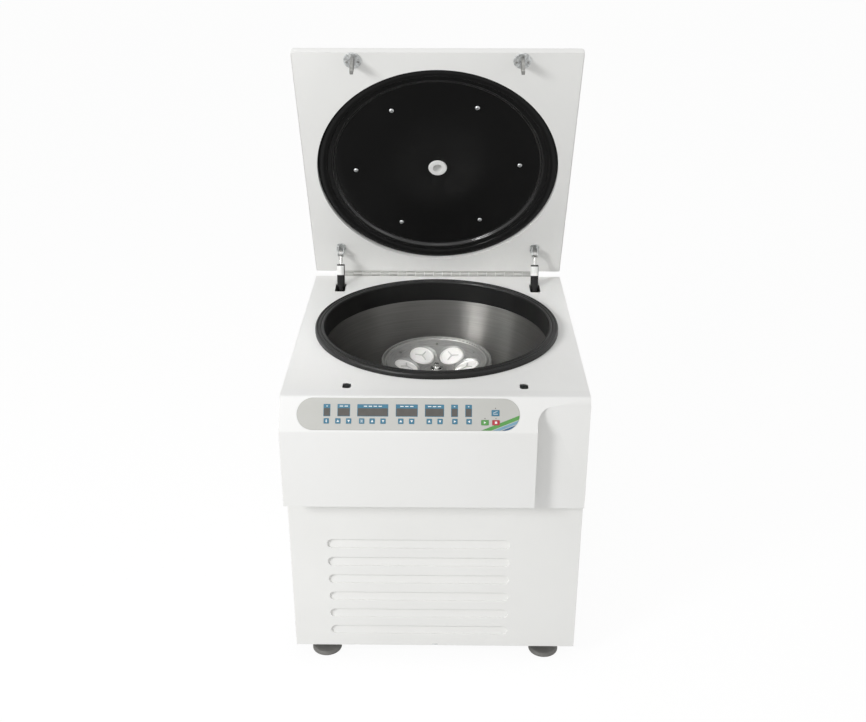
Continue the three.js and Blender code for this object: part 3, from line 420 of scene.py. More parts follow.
# Metal brushed round an upright axis: fine level lines, and lights drawn out along the height
def brushedFinish(name, look):
    tree, shader, vector = startFinish(name, look)
    lines = addNoise(tree, vector, 1, 4)
    place = tree.nodes["Texture Coordinate"].outputs["Object"]
    patches = addNoise(tree, place, look["patch"], 3)
    dress(tree, shader, look, lines, patches, lines)
    if "drawnOut" in look:
        setInputs(shader, {"Anisotropic": look["drawnOut"], "Anisotropic Rotation": 0.25})
        tangent = addNode(tree, "Tangent")
        tangent.direction_type = "RADIAL"
        tangent.axis = "Z"
        linked(tree, tangent.outputs["Tangent"], shader.inputs["Tangent"])


# Thin fins side by side along x: light fin edges, with painted shade in the dark gaps between them
def finFinish(name, look):
    tree, shader, vector = startFinish(name, look)
    wave = addNode(tree, "TexWave", {"Scale": look["fins"]})
    linked(tree, vector, wave.inputs["Vector"])
    bands = wave.outputs["Fac"]
    dress(tree, shader, look, bands, addNoise(tree, vector, look["patch"], 2), bands)


# Each row is a material's look in the order of the columns: colours as seen, patch and grain as noise
# scales, depth of the relief in millimetres
ink = (40, 1500, (0.4, 0.46), 0.06, 0.1, 0.35)
grainColumns = ("colour", "tint", "patch", "grain", "roughness", "relief", "depth", "specular", "metallic")
grainRows = {
    "whitePowderCoat": ((237, 237, 235), (240, 240, 238), 3, 650, (0.42, 0.5), 0.12, 0.3, 0.4),
    "whiteMoulding": ((236, 236, 234), (238, 238, 237), 2.5, 900, (0.38, 0.46), 0.06, 0.2, 0.4),
    "greyFilm": ((192, 192, 187), (196, 196, 192), 9, 1500, (0.42, 0.5), 0.08, 0.1, 0.4),
    "blueInk": ((70, 121, 146), (78, 128, 152), *ink),
    "deepBlueInk": ((52, 96, 134), (58, 103, 141), *ink),
    "paleBlueInk": ((122, 160, 182), (128, 166, 187), *ink),
    "greenInk": ((88, 150, 80), (96, 156, 86), *ink),
    "redInk": ((178, 58, 68), (184, 64, 74), *ink),
    "whiteInk": ((240, 240, 238), (244, 244, 242), 30, 1500, (0.42, 0.5), 0.05, 0.1, 0.35),
    "displayWindow": ((92, 90, 87), (98, 96, 93), 60, 1800, (0.3, 0.36), 0.03, 0.1, 0.3),
    "ringRubber": ((22, 22, 22), (26, 26, 25), 14, 800, (0.36, 0.46), 0.12, 0.2, 0.3),
    "footRubber": ((112, 111, 108), (124, 123, 120), 40, 900, (0.45, 0.55), 0.15, 0.3, 0.35),
    "blackMoulding": ((25, 25, 25), (27, 27, 27), 4, 1400, (0.15, 0.17), 0.02, 0.1, 0.1),
    "glossyBlackEdge": ((18, 18, 19), (22, 22, 22), 4, 1400, (0.14, 0.18), 0.02, 0.1, 0.6),
    "blackGloss": ((22, 22, 22), (28, 28, 28), 30, 900, (0.1, 0.16), 0.02, 0.1, 0.25),
    "capPlastic": ((236, 235, 232), (240, 239, 237), 25, 1200, (0.4, 0.48), 0.08, 0.2, 0.4),
    "zincPlate": ((172, 174, 174), (226, 228, 228), 150, 700, (0.34, 0.5), 0.12, 0.2, 0.5, 1),
    # A darker copy of the plated metal for the hook plates and their screws: painted shade
    "hookSteelPaintedShade": ((140, 140, 137), (166, 166, 163), 120, 700, (0.34, 0.46), 0.12, 0.2, 0.5, 1),
    # Grey of the cap ribs: painted shade standing in for the shadows that fall along the ribs
    "capRibPaintedShade": ((190, 190, 186), (200, 200, 196), 25, 1200, (0.45, 0.55), 0.08, 0.2, 0.4),
    "castingPaint": ((104, 108, 112), (116, 120, 124), 25, 350, (0.5, 0.62), 0.3, 0.6, 0.4),
    "compressorPaint": ((24, 24, 25), (34, 34, 35), 18, 500, (0.35, 0.45), 0.15, 0.4, 0.45),
    "jacketFoam": ((212, 202, 158), (224, 215, 176), 30, 260, (0.8, 0.92), 0.4, 1, 0.2),
}
brushedColumns = ("colour", "tint", "stretch", "patch", "roughness", "relief", "depth", "metallic",
                  "drawnOut")
brushedRows = {
    "brushedBowl": ((124, 123, 120), (136, 135, 132), (6, 6, 900), 9, (0.36, 0.58), 0.06, 0.1, 0.84, 0.92),
    "brushedLeaf": ((186, 186, 183), (210, 210, 207), (8, 900, 900), 20, (0.36, 0.48), 0.08, 0.1, 1),
    "turnedSteel": ((190, 190, 188), (206, 206, 204), (30, 30, 1500), 40, (0.18, 0.28), 0.05, 0.1, 1),
    "satinAluminium": ((148, 148, 145), (164, 164, 161), (40, 40, 900), 20, (0.44, 0.54), 0.12, 0.2, 0.55),
}
# The condenser's dark bands are painted shade between the fins
finFinish("condenserFinsGapShade", {"colour": (70, 72, 74), "tint": (168, 170, 172), "fins": 100,
                            "stretch": (1, 0, 0), "patch": 30, "roughness": (0.35, 0.5), "relief": 0.6,
                            "depth": 1, "metallic": 1})
for title, row in grainRows.items():
    grainFinish(title, dict(zip(grainColumns, row)))
for title, row in brushedRows.items():
    brushedFinish(title, dict(zip(brushedColumns, row)))
print("materials made")

# Finishes of the nodes that stay as they are
nodeFinishes = {
    "zincPlate": ("base_tray", "motor_shelf", "latch_channel"), "jacketFoam": ("bowl_insulation",),
    "turnedSteel": ("drive_shaft", "latch_bar", "strut_rod_left", "strut_rod_right"),
    "castingPaint": ("drive_motor",), "compressorPaint": ("compressor",), "condenserFinsGapShade": ("condenser",),
    "blackMoulding": ("condenser_fan",),
}
for material, nodes in nodeFinishes.items():
    for node in nodes:
        coat(frame["nodes"][node], material)

# Side and rear sheets with softened edges, and the rear sheet's screws
outerSheets = {"edge": 0.6, "screwX": 330, "screwHigh": (-28, -250, -470, -686), "screwBack": 728,
               "screwRadius": 4.5, "screwRise": 2.2, "crossLong": 2.6, "crossHalf": 0.45}


def makeOuterSheets(size):
    for node, name in (("side_panel_left", "sideSheetLeft"), ("side_panel_right", "sideSheetRight"),
                       ("rear_panel", "rearSheet")):
        sheet = softenedCopy(node, name, size["edge"])
        finishPiece(sheet, "whitePowderCoat", "cabinet", [node])
    heads = []
    radius, rise = size["screwRadius"], size["screwRise"]
    shape = [(0, -0.3), (radius, -0.3), (radius, rise * 0.5, 0.6), (radius * 0.6, rise, 1), (0, rise)]
    for side in (-1, 1):
        for high in size["screwHigh"]:
            head = addSolid("rearScrew", shape, 3, 24)
            cutCross(head, size["crossLong"], size["crossHalf"], rise - 1, rise + 1)
            place = shifted(side * size["screwX"], size["screwBack"], high)
            heads.append(settle(head, place @ Matrix.Rotation(-math.pi / 2, 4, "X")))
    finishPiece(settle(grouped("rearScrews", heads), deckPlace), "zincPlate", "cabinet")


makeOuterSheets(outerSheets)

# Deck sheet with its mouth. Its hole and slot at each side are given by place, width, depth and rounding
deckSheet = {"halfWidth": 350, "depth": 728, "sheet": 2, "foldHalf": 345.7, "fold": 26, "mouth": 289.6,
             "edge": 0.8, "latchHole": (203, 21.5, 20, 29, 7), "strutSlot": (272, 636, 29, 60, 6)}


def makeDeck(size):
    half = size["halfWidth"]
    deck = addBlock("deckTop", (-half, 0, -size["sheet"]), (half, size["depth"], 0))
    fold = size["foldHalf"]
    joinOn(deck, addBlock("fold", (-fold, 0, -size["fold"]), (fold, size["sheet"], 0)))
    cutAway(deck, addBar("mouth", size["mouth"], -past, past, "Z", (0, chamberAxis), 128))
    for side in (-1, 1):
        for x, y, wide, deep, radius in (size["latchHole"], size["strutSlot"]):
            left, right = side * x - wide / 2, side * x + wide / 2
            hole = boxOutline(left, right, y - deep / 2, y + deep / 2, radius)
            cutAway(deck, addPrism("hole", hole, "Z", -past, past))
    roundEdges(deck, size["edge"])
    finishPiece(settle(deck, deckPlace), "whitePowderCoat", "cabinet", ["deck_plate"])


makeDeck(deckSheet)

# Front cover: sloping hood with the hand recess at its right end
hood = {"half": 350, "depth": 80, "lip": 32, "drop": panelDrop, "height": 263, "wall": 4, "lipRound": 8,
        "creaseRound": 6, "edge": 1.2, "gripLeft": 230, "gripRound": 35, "gripTop": 45, "gripBottom": 46,
        "skirt": 22, "backGap": 24.4, "filmLength": 500, "filmHeight": 72.6, "filmGap": 0.3}


def gripTool(size, grow):
    topDrop = (size["gripTop"] - size["lip"]) * math.tan(panelSlope)
    left, top, foot = size["gripLeft"] - grow, grow - topDrop, -size["height"] - size["skirt"] - 6
    outline = softened([(left, foot), (360, foot), (360, top), (left, top, size["gripRound"] + grow)], 12)
    tool = addPrism("grip", outline, "Y", -size["depth"] - 6, 0)
    lean = (size["gripTop"] - size["gripBottom"]) / (size["height"] - topDrop)
    planes = [(-size["gripTop"] - lean * (z + topDrop) + grow, z) for z in (foot, 6)]
    outer = -size["depth"] - 8
    side = [planes[0], planes[1], (outer, 6), (outer, foot)]
    return keepWithin(tool, addPrism("wedge", side, "X", left - 4, 366))


def makeHood(size):
    half, depth, height, wall = size["half"], size["depth"], size["height"], size["wall"]
    lip, drop, skirt = size["lip"], size["drop"], size["skirt"]
    outer = softened([(0, 0), (-lip, 0, size["lipRound"]), (-depth, -drop, size["creaseRound"]),
                      (-depth, -height), (0, -height)], 6)
    lipShift = wall * math.tan(panelSlope / 2)
    creaseShift = wall * math.tan((math.pi / 2 - panelSlope) / 2)
    floor = wall - height
    inner = [(6, -wall), (lipShift - lip, -wall), (wall - depth, -drop - creaseShift), (wall - depth, floor),
             (6, floor)]
    cover = addPrism("frontHood", outer, "X", -half, half)
    within = [(-1, -1), (1 - lip, -1), (1.5 - depth, -drop), (1.5 - depth, 1 - height), (-1, 1 - height)]
    pocket = keepWithin(gripTool(size, wall), addPrism("within", within, "X", -half, half - 1))
    cutAway(cover, addPrism("inside", inner, "X", wall - half, half - wall))
    cutAway(cover, addBlock("back", (wall - half + 0.5, -size["backGap"], -height - 5),
                            (half - wall - 0.5, 5, wall - height + 5)))
    joinOn(cover, pocket)
    joinOn(cover, addBlock("skirt", (size["gripLeft"] + 1, -size["gripBottom"] - 14, -height - skirt),
                           (half - 0.4, -size["backGap"], 2 - height)))
    cutAway(cover, gripTool(size, 0))
    roundEdges(cover, size["edge"], 3, 50)
    settle(cover, deckPlace)
    reach = size["filmLength"] / 2 + size["filmGap"]
    rise = size["filmHeight"] / 2 + size["filmGap"]
    bounds = capsule(-reach, reach, -rise, rise, 24)
    cutAway(cover, settle(addPrism("film", bounds, "Z", -past, past), panelPlace))
    finishPiece(cover, "whiteMoulding", "cabinet", ["front_cover"])


makeHood(hood)
print("deck and hood made")

# Lower front sheet with six pressed louvres, deepest at their upper edges
lowerSheet = {"half": 350, "upperHalf": 345.7, "front": -24, "sheet": 2, "bottom": -711, "shoulder": -263.3,
              "top": -10, "notchHalf": 7, "notch": 5, "count": 6, "left": -260, "right": 181, "height": 25,
              "first": -404.5, "pitch": 51.6, "shallow": 3, "depth": 10, "slit": 4, "slitMargin": 12,
              "edge": 1}


def louvreTool(size, grow, back):
    radius = size["height"] / 2 + grow
    front, left, right = size["front"], size["left"], size["right"]
    outline = capsule(left - grow, right + grow, -radius, radius)
    tool = addPrism("louvre", outline, "Y", front + (0.6 if grow else -5), front + back + 1)
    wedge = [(front - 9, -radius - 1), (front + size["shallow"] + grow, -radius - 1),
             (front + size["depth"] + grow, radius + 1), (front - 9, radius + 1)]
    return keepWithin(tool, addPrism("wedge", wedge, "X", left - past, right + past))


def sixOf(tool, size):
    copies = [tool] + [copyOf(tool, "louvre") for _ in range(size["count"] - 1)]
    for i, copy in enumerate(copies):
        settle(copy, shifted(0, 0, size["first"] - i * size["pitch"]))
    return grouped("louvres", copies)


def makeLowerSheet(size):
    front, sheet, depth = size["front"], size["sheet"], size["depth"]
    half, upper, notch = size["half"], size["upperHalf"], size["notchHalf"]
    bottom, shoulder, top = size["bottom"], size["shoulder"], size["top"]
    step = bottom + size["notch"]
    outline = [(-half, bottom), (-notch, bottom), (-notch, step), (notch, step), (notch, bottom),
               (half, bottom), (half, shoulder), (upper, shoulder), (upper, top), (-upper, top),
               (-upper, shoulder), (-half, shoulder)]
    panel = addPrism("louvredSheet", outline, "Y", front, front + sheet)
    joinOn(panel, sixOf(louvreTool(size, sheet, depth + sheet), size))
    cutAway(panel, sixOf(louvreTool(size, 0, depth), size))
    high = size["height"] / 2
    left, right = size["left"] + size["slitMargin"], size["right"] - size["slitMargin"]
    slit = addBlock("slit", (left, front + depth - 2, high - size["slit"]),
                    (right, front + depth + 9, high - 0.4))
    cutAway(panel, sixOf(slit, size))
    roundPicked(panel, size["edge"], lambda middle: abs(middle.y - front) < 0.01, 4)
    finishPiece(settle(panel, deckPlace), "whitePowderCoat", "cabinet", ["front_panel"])


makeLowerSheet(lowerSheet)
print("louvred sheet made")

# Key panel: film plate with display windows, stripes, marks and fifteen keys
filmPlate = {"length": 500, "height": 72.6, "thick": 4, "windowLow": -5.5, "windowHigh": 22.4,
             "headLow": 13.1, "border": 1.1, "recess": 0.6, "pocket": 3, "play": 0.3,
             "edge": 0.3}
windowPlaces = [(-182.3, 15.8), (-144.45, 28.7), (-79.4, 69.8), (-3.05, 49.5), (59.05, 43.1), (104.0, 15.6),
                (135.45, 15.1)]
# Ends of the pieces in the windows and on the film, along its normal
panelLayers = {"frame": (-0.62, -0.3), "glass": (-0.35, -0.12), "mark": (-0.35, -0.22),
               "stripe": (-0.05, 0.12)}
windowMark = {"low": 16.8, "high": 18.7, "short": 3.2, "long": 7.6, "narrow": 20, "each": 17, "pitch": 11,
              "gap": 0.1}
stripeLook = {"inset": 0.6, "beyond": 6, "reach": 130, "slope": 0.4, "bands": {
    "stripeGreen": (1, -8, "greenInk"), "stripePale": (-9.5, -16, "paleBlueInk"),
    "stripeDeep": (-17.5, -25, "deepBlueInk")}}
keyLamp = {"profile": [(0, -0.1), (1.1, -0.1), (1.1, 0.15), (0.7, 0.3), (0, 0.35)],
           "places": ((172, -8.6), (196.6, -8.6), (195.6, 14.6))}
keyCap = {"size": (11.7, 11.7), "round": 1.2, "foot": -2.2, "top": 0.6, "edge": 0.35, "mark": 0.12}
specialKeys = {"key_start": ((16.5, 11.5), "greenInk", "green_key"),
               "key_stop": ((16.5, 11.5), "redInk", "red_key"),
               "key_lid": ((17.5, 13.5), "blueInk", "blue_key")}
keyRow = -15.9
keyPlaces = {
    "key_program": (-183.2, keyRow, "both"), "key_speed_up": (-157.2, keyRow, "up"),
    "key_speed_down": (-133.1, keyRow, "down"), "key_mode": (-103.9, keyRow, "frame"),
    "key_set_up": (-80.4, keyRow, "up"), "key_set_down": (-56, keyRow, "down"),
    "key_time_up": (-16.3, keyRow, "up"), "key_time_down": (8.1, keyRow, "down"),
    "key_temperature_up": (47.4, keyRow, "up"), "key_temperature_down": (71.6, keyRow, "down"),
    "key_ramp": (104.8, keyRow, "play"), "key_brake": (136.4, keyRow, "back"),
    "key_start": (172, -18, "play"), "key_stop": (196.6, -18, "square"), "key_lid": (195.6, 3.7, "lid"),
}


def oblong(x0, x1, y0, y1):
    return [(x0, y0), (x1, y0), (x1, y1), (x0, y1)]


keySigns = {"up": [[(-2.9, -2.2), (2.9, -2.2), (0, 2.9)]], "down": [[(-2.9, 2.2), (0, -2.9), (2.9, 2.2)]],
            "play": [[(-2.3, -2.8), (2.8, 0), (-2.3, 2.8)]], "back": [[(2.3, -2.8), (2.3, 2.8), (-2.8, 0)]],
            "square": [oblong(-2.5, 2.5, -2.5, 2.5)],
            "both": [[(-2.1, 0.6), (2.1, 0.6), (0, 3.6)], [(-2.1, -0.6), (0, -3.6), (2.1, -0.6)]],
            "frame": [oblong(-3.2, 3.2, 1.5, 2.5), oblong(-3.2, 3.2, -2.5, -1.5),
                      oblong(-0.9, 0.9, -0.7, 0.7)],
            "lid": [oblong(-5, 5, -3, -2), [(-5, -0.6), (4.2, 3.2), (3.8, 4.1), (-5.4, 0.3)]]}


def keyLook(name):
    return specialKeys.get(name, (keyCap["size"], "blueInk", "blue_key"))


def keyOutline(name, grow):
    x, y, _ = keyPlaces[name]
    wide, high = keyLook(name)[0]
    return boxOutline(x - wide / 2 - grow, x + wide / 2 + grow, y - high / 2 - grow, y + high / 2 + grow,
                      keyCap["round"] + grow, 4)


def makeFilm(size):
    half, high = size["length"] / 2, size["height"] / 2
    plate = addPrism("filmPlate", capsule(-half, half, -high, high, 24), "Z", -size["thick"], 0)
    roundEdges(plate, size["edge"], 2, 50)
    for along, wide in windowPlaces:
        cutAway(plate, addBlock("window", (along - wide / 2, size["windowLow"], -size["recess"]),
                                (along + wide / 2, size["windowHigh"], 5)))
    for name in keyPlaces:
        cutAway(plate, addPrism("pocket", keyOutline(name, size["play"]), "Z", -size["pocket"], 5))
    finishPiece(settle(plate, panelPlace), "greyFilm", "cabinet", ["control_overlay"])


def makeWindows(size, mark):
    frames, glasses, marks = [], [], []
    border, gap = size["border"], mark["gap"]
    for along, wide in windowPlaces:
        left, right = along - wide / 2 + gap, along + wide / 2 - gap
        low, high = size["windowLow"] + gap, size["windowHigh"] - gap
        frames.append(addPrism("frame", boxOutline(left, right, low, high, 1, 3), "Z", *panelLayers["frame"]))
        pane = boxOutline(left + border, right - border, low + border, size["headLow"], 0.5, 2)
        glasses.append(addPrism("glass", pane, "Z", *panelLayers["glass"]))
        words = max(1, round(wide / mark["each"]))
        half = (mark["short"] if wide < mark["narrow"] else mark["long"]) / 2
        under, over = panelLayers["mark"]
        for i in range(words):
            middle = along + (i - (words - 1) / 2) * min(mark["pitch"], wide / (words + 0.6))
            marks.append(addBlock("mark", (middle - half, mark["low"], under),
                                  (middle + half, mark["high"], over)))
    for name, group, material in (("windowFrames", frames, "blueInk"),
                                  ("windowGlass", glasses, "displayWindow"),
                                  ("windowMarks", marks, "whiteInk")):
        finishPiece(settle(grouped(name, group), panelPlace), material, "cabinet")


def makeStripes(size, look):
    half, high = size["length"] / 2 - look["inset"], size["height"] / 2 - look["inset"]
    start = half + look["beyond"]
    end, fall = start - look["reach"], look["slope"] * look["reach"]
    for name, (top, low, material) in look["bands"].items():
        outline = [(end, low - fall), (start, low), (start, top), (end, top - fall)]
        band = addPrism(name, outline, "Z", *panelLayers["stripe"])
        keepWithin(band, addPrism("within", capsule(-half, half, -high, high, 24), "Z", -1, 1))
        finishPiece(settle(band, panelPlace), material, "cabinet")


def makeKey(name, size):
    x, y, kind = keyPlaces[name]
    _, material, slot = keyLook(name)
    title = "cap" + name.title().replace("_", "")
    cap = addPrism(title, keyOutline(name, 0), "Z", size["foot"], size["top"])
    parts = [coat(roundEdges(cap, size["edge"], 2, 50), material)]
    for outline in keySigns[kind]:
        sign = addPrism("sign", [(x + a, y + b) for a, b in outline], "Z", size["top"] - 0.1,
                        size["top"] + size["mark"])
        parts.append(coat(sign, "whiteInk"))
    finishPiece(settle(grouped(title, parts), panelPlace), None, name, [name])


makeFilm(filmPlate)
makeWindows(filmPlate, windowMark)
makeStripes(filmPlate, stripeLook)
lights = [settle(addSolid("light", keyLamp["profile"], 1, 16), shifted(x, y, 0))
          for x, y in keyLamp["places"]]
finishPiece(settle(grouped("keyLamps", lights), panelPlace), "displayWindow", "cabinet")
for keyName in keyPlaces:
    makeKey(keyName, keyCap)
print("key panel made")

# Mouth ring: outer bead, groove, crowned land and inner lip on a collar
mouthRing = {"profile": [(287, -42), (287, 10, 2), (288.6, 13, 1.2), (293, 13, 1.2), (295.2, 11.2, 1.2),
                         (298, 12.4, 2), (302, 12.4, 2), (303.8, 10.8, 1), (305.6, 13, 1.4), (309, 13, 2.4),
                         (311, 9, 2), (311, 0.3), (289.3, 0.3), (289.3, -42)]}
ring = addTurned("mouthRing", softened(mouthRing["profile"], 4), 128)
finishPiece(settle(ring, chamberPlace), "ringRubber", "cabinet", ["chamber_gasket"], 50)

# Steel bowl with a hole in its floor for the shaft and a flange under the ring
bowl = {"profile": [(286, -42.3, 0.6), (286, -300, 46), (30, -300), (30, -301.5), (287.5, -301.5, 47.5),
                    (287.5, -43.8), (300, -43.8), (300, -42.3)]}
steelBowl = addTurned("steelBowl", softened(bowl["profile"], 10), 128)
finishPiece(settle(steelBowl, chamberPlace), "brushedBowl", "cabinet", ["chamber_bowl"], 40)
print("chamber made")

# Rotor with six tilted wells, its hold-down screw and six bottles
rotorCasting = {"profile": [(12.4, -250), (154, -250, 3), (162, -242, 3), (162, -196.7, 8), (143, -98, 3),
                            (143, -90, 1.6), (138.2, -90, 0.8), (137.2, -95), (133.4, -95),
                            (132.4, -90.6, 0.8), (129.2, -90.9, 0.8), (128, -93.6, 0.6),
                            (40, -125.6, 4), (33.6, -127, 2), (25, -120, 1.6), (12.4, -120)],
                "well": [(0, -130.4), (31.3, -130.4), (31.3, -14), (33.2, -14), (33.2, -4.2), (38.2, 3.2),
                         (38.2, 24), (0, 24)],
                "dimpleCircle": 112, "dimple": 4.2, "dimpleFloor": -104.5, "dimpleTop": -80}
bottleTilt = math.radians(20)
bottleRadius, bottleDrop = 78, 112


def bottlePlace(i):
    angle = (i + 0.5) * fullTurn / 6
    return (Matrix.Rotation(-angle, 4, "Z") @ shifted(0, bottleRadius, -bottleDrop)
            @ Matrix.Rotation(bottleTilt, 4, "X"))


def makeRotor(size):
    casting = addTurned("rotorCasting", softened(size["profile"], 4), 120)
    circle, low, high = size["dimpleCircle"], size["dimpleFloor"], size["dimpleTop"]
    for i in range(6):
        cutAway(casting, settle(addTurned("well", size["well"], 64, ring=False), bottlePlace(i)))
        angle = i * fullTurn / 6
        spot = (circle * math.sin(angle), circle * math.cos(angle))
        cutAway(casting, addBar("dimple", size["dimple"], low, high, "Z", spot, 24))
    finishPiece(settle(casting, chamberPlace), "satinAluminium", "rotor", ["rotor"], 30)


holdScrew = {"profile": [(0, -149.7), (6, -149.7), (6, -119.7), (17, -119.7, 0.6), (17, -116.6, 1.2),
                         (8.4, -115, 2), (6.4, -112, 1), (6.4, -104.7, 0.8), (2.6, -104.7), (2.6, -109),
                         (0, -109)]}
bottle = {"profile": [(0, -129.7), (30.6, -129.7, 8), (30.6, -15.7, 1.2), (28.6, -13.9), (32.2, -13.7, 0.6),
                      (32.5, -2.6, 2.4), (29.8, 0, 1.2), (28.4, 0, 0.5), (27.4, -2.2, 0.8), (0, -2.2)],
          "ribTo": 19, "ribWide": 4.2, "ribFoot": -3, "ribTop": -0.1, "ribTurn": 0.07}


def makeBottle(i, size):
    flask = addSolid(f"bottle{i + 1}", size["profile"], 4, 72)
    coat(flask, "capPlastic")
    ribs = []
    half, reach = size["ribWide"] / 2, size["ribTo"]
    for arm in range(3):
        rib = addPrism("rib", [(0, -half), (reach, -half * 0.6), (reach, half * 0.6), (0, half)], "Z",
                       size["ribFoot"], size["ribTop"])
        # The ribs take a grey of painted shade
        coat(roundEdges(rib, 0.6, 2), "capRibPaintedShade")
        ribs.append(settle(rib, Matrix.Rotation(fullTurn * (arm / 3 + size["ribTurn"] * (i + 1)), 4, "Z")))
    whole = settle(grouped(f"bottle{i + 1}", [flask] + ribs), chamberPlace @ bottlePlace(i))
    finishPiece(whole, None, "rotor", [f"bottle_{i + 1}"])


makeRotor(rotorCasting)
screw = settle(addSolid("holdDownScrew", holdScrew["profile"], 3, 48), chamberPlace)
finishPiece(screw, "turnedSteel", "rotor", ["rotor_screw"])
for index in range(6):
    makeBottle(index, bottle)
print("rotor made")

# Lid: sloping pan, inner sheet with its recess, black dish, port, screws and hooks
lidPan = {"half": 350, "front": -736, "rear": -8, "low": 4, "edge": 24, "top": 64, "sideInset": 45,
          "frontInset": 45, "rearInset": 30, "sheet": 1.5, "round": 4, "portHole": 16.3, "axis": -372}


def makeLidPan(size):
    half, front, rear = size["half"], size["front"], size["rear"]
    frontInset, rearInset = size["frontInset"], size["rearInset"]
    pan = addBlock("lidPan", (-half, front, size["low"]), (half, rear, size["edge"]))
    pickFaces(pan, lambda middle, normal: normal.z > 0.9)
    extrude((0, 0, (size["top"] - size["edge"]) * mm))
    middle = Vector((0, (front + rear) / 2, size["top"])) * mm
    shrink = (1 - size["sideInset"] / half, 1 - (frontInset + rearInset) / (rear - front), 1)
    bpy.ops.transform.resize(value=shrink, center_override=middle)
    bpy.ops.transform.translate(value=(0, (frontInset - rearInset) / 2 * mm, 0))
    stopEditing()
    pickFaces(pan, lambda middle, normal: normal.z < -0.9)
    bpy.ops.mesh.delete(type="FACE")
    stopEditing()
    roundEdges(pan, size["round"], 4, 25)
    altered(pan, "SOLIDIFY", thickness=size["sheet"] * mm, offset=-1)
    cutAway(pan, addBar("hole", size["portHole"], 40, 80, "Z", (0, size["axis"])))
    finishPiece(settle(pan, lidPlace), "whitePowderCoat", "lid", ["lid_shell"])


innerSheet = {"half": 348.2, "front": -734.2, "rear": -9.8, "low": 4, "sheet": 1.5, "recess": 315.5,
              "recessTop": 18, "edge": 0.7}


def makeInnerSheet(size):
    low, axis = size["low"], lidPan["axis"]
    sheet = addBlock("lidInnerSheet", (-size["half"], size["front"], low),
                     (size["half"], size["rear"], low + size["sheet"]))
    joinOn(sheet, addBar("wall", size["recess"] + size["sheet"], low, size["recessTop"], "Z", (0, axis), 144))
    cutAway(sheet, addBar("recess", size["recess"], low - 5, size["recessTop"] + 5, "Z", (0, axis), 144))
    roundEdges(sheet, size["edge"])
    finishPiece(settle(sheet, lidPlace), "whitePowderCoat", "lid", ["lid_inner_panel"])


dishPlace = lidPlace @ shifted(0, lidPan["axis"], 0)
lidDish = {"edge": 314.8, "lip": 13, "seat": 18.3, "lipTop": 15.3, "crest": 9.3, "land": 275.8, "dish": 271.6,
           "dishFloor": 23.3, "hole": 16.3, "back": 26.3, "wall": 317, "landRound": 6.6, "dishRound": 6.6,
           "gloss": 4.6}


def makeDish(size):
    middle = size["edge"] - size["lip"]
    floor, land, rim = size["dishFloor"], size["land"], size["dish"]
    profile = []
    for step in range(25):
        angle = math.pi * step / 24
        start = size["seat"] if math.cos(angle) > 0 else size["lipTop"]
        profile.append((middle + size["lip"] * math.cos(angle),
                        start + math.sin(angle) * (size["crest"] - start)))
    inner = softened([(middle - size["lip"], size["lipTop"]), (land, size["lipTop"], size["landRound"]),
                      (rim, floor, size["dishRound"]), (size["hole"], floor)], 8, ring=False)
    rest = [(size["hole"], size["back"]), (middle, size["back"]), (size["wall"], size["seat"] + 3),
            (size["wall"], size["seat"])]
    dish = coat(addTurned("lidDish", profile + inner[1:] + rest, 144), "blackMoulding")
    dish.data.materials.append(finishes["glossyBlackEdge"])
    pickFaces(dish, lambda middle, normal: middle.z < floor + 0.2
              and rim - size["gloss"] < math.hypot(middle.x, middle.y) < land + size["gloss"])
    dish.active_material_index = 1
    bpy.ops.object.material_slot_assign()
    stopEditing()
    settle(dish, dishPlace)
    finishPiece(dish, None, "lid", ["lid_liner"], 50)


sightPort = {"profile": [(13, 20.3), (17, 20.3, 0.8), (23.2, 20.3, 1.4), (24.5, 23.3), (16, 23.3), (16, 66),
                         (13, 66)]}
dishScrews = {"count": 6, "circle": 216, "turn": 2.4, "radius": 6, "rise": 3.2, "crossLong": 3.4,
              "crossHalf": 0.6, "crossFloor": 1.8}


def makeDishScrews(size):
    heads = []
    floor, radius, rise = lidDish["dishFloor"], size["radius"], size["rise"]
    shape = [(0, floor + 1), (radius, floor + 1), (radius, floor - 0.9, 0.6), (radius * 0.6, floor - rise, 2),
             (0, floor - rise)]
    for i in range(size["count"]):
        head = addSolid("dishScrew", shape, 4, 24)
        cutCross(head, size["crossLong"], size["crossHalf"], floor - rise - 1, floor - size["crossFloor"])
        angle = math.radians(size["turn"]) + i * fullTurn / size["count"]
        heads.append(settle(head, shifted(size["circle"] * math.cos(angle),
                                          lidPan["axis"] - size["circle"] * math.sin(angle), 0)))
    finishPiece(settle(grouped("dishScrews", heads), lidPlace), "zincPlate", "lid")


lidHook = {"x": 203, "y": -714.5, "seat": 3.7, "flange": 21.5, "thick": 3, "plate": 8, "base": 12.5, "tip": 6,
           "shoulder": -18, "end": -46, "eyeWide": 5, "eyeHigh": 6.5, "eye": -32, "eyeRound": 3.3,
           "screwX": 14, "screwY": 3, "screw": [(0, 0.9), (3.2, 0.9), (2.6, -0.5, 0.8), (0, -0.9)]}


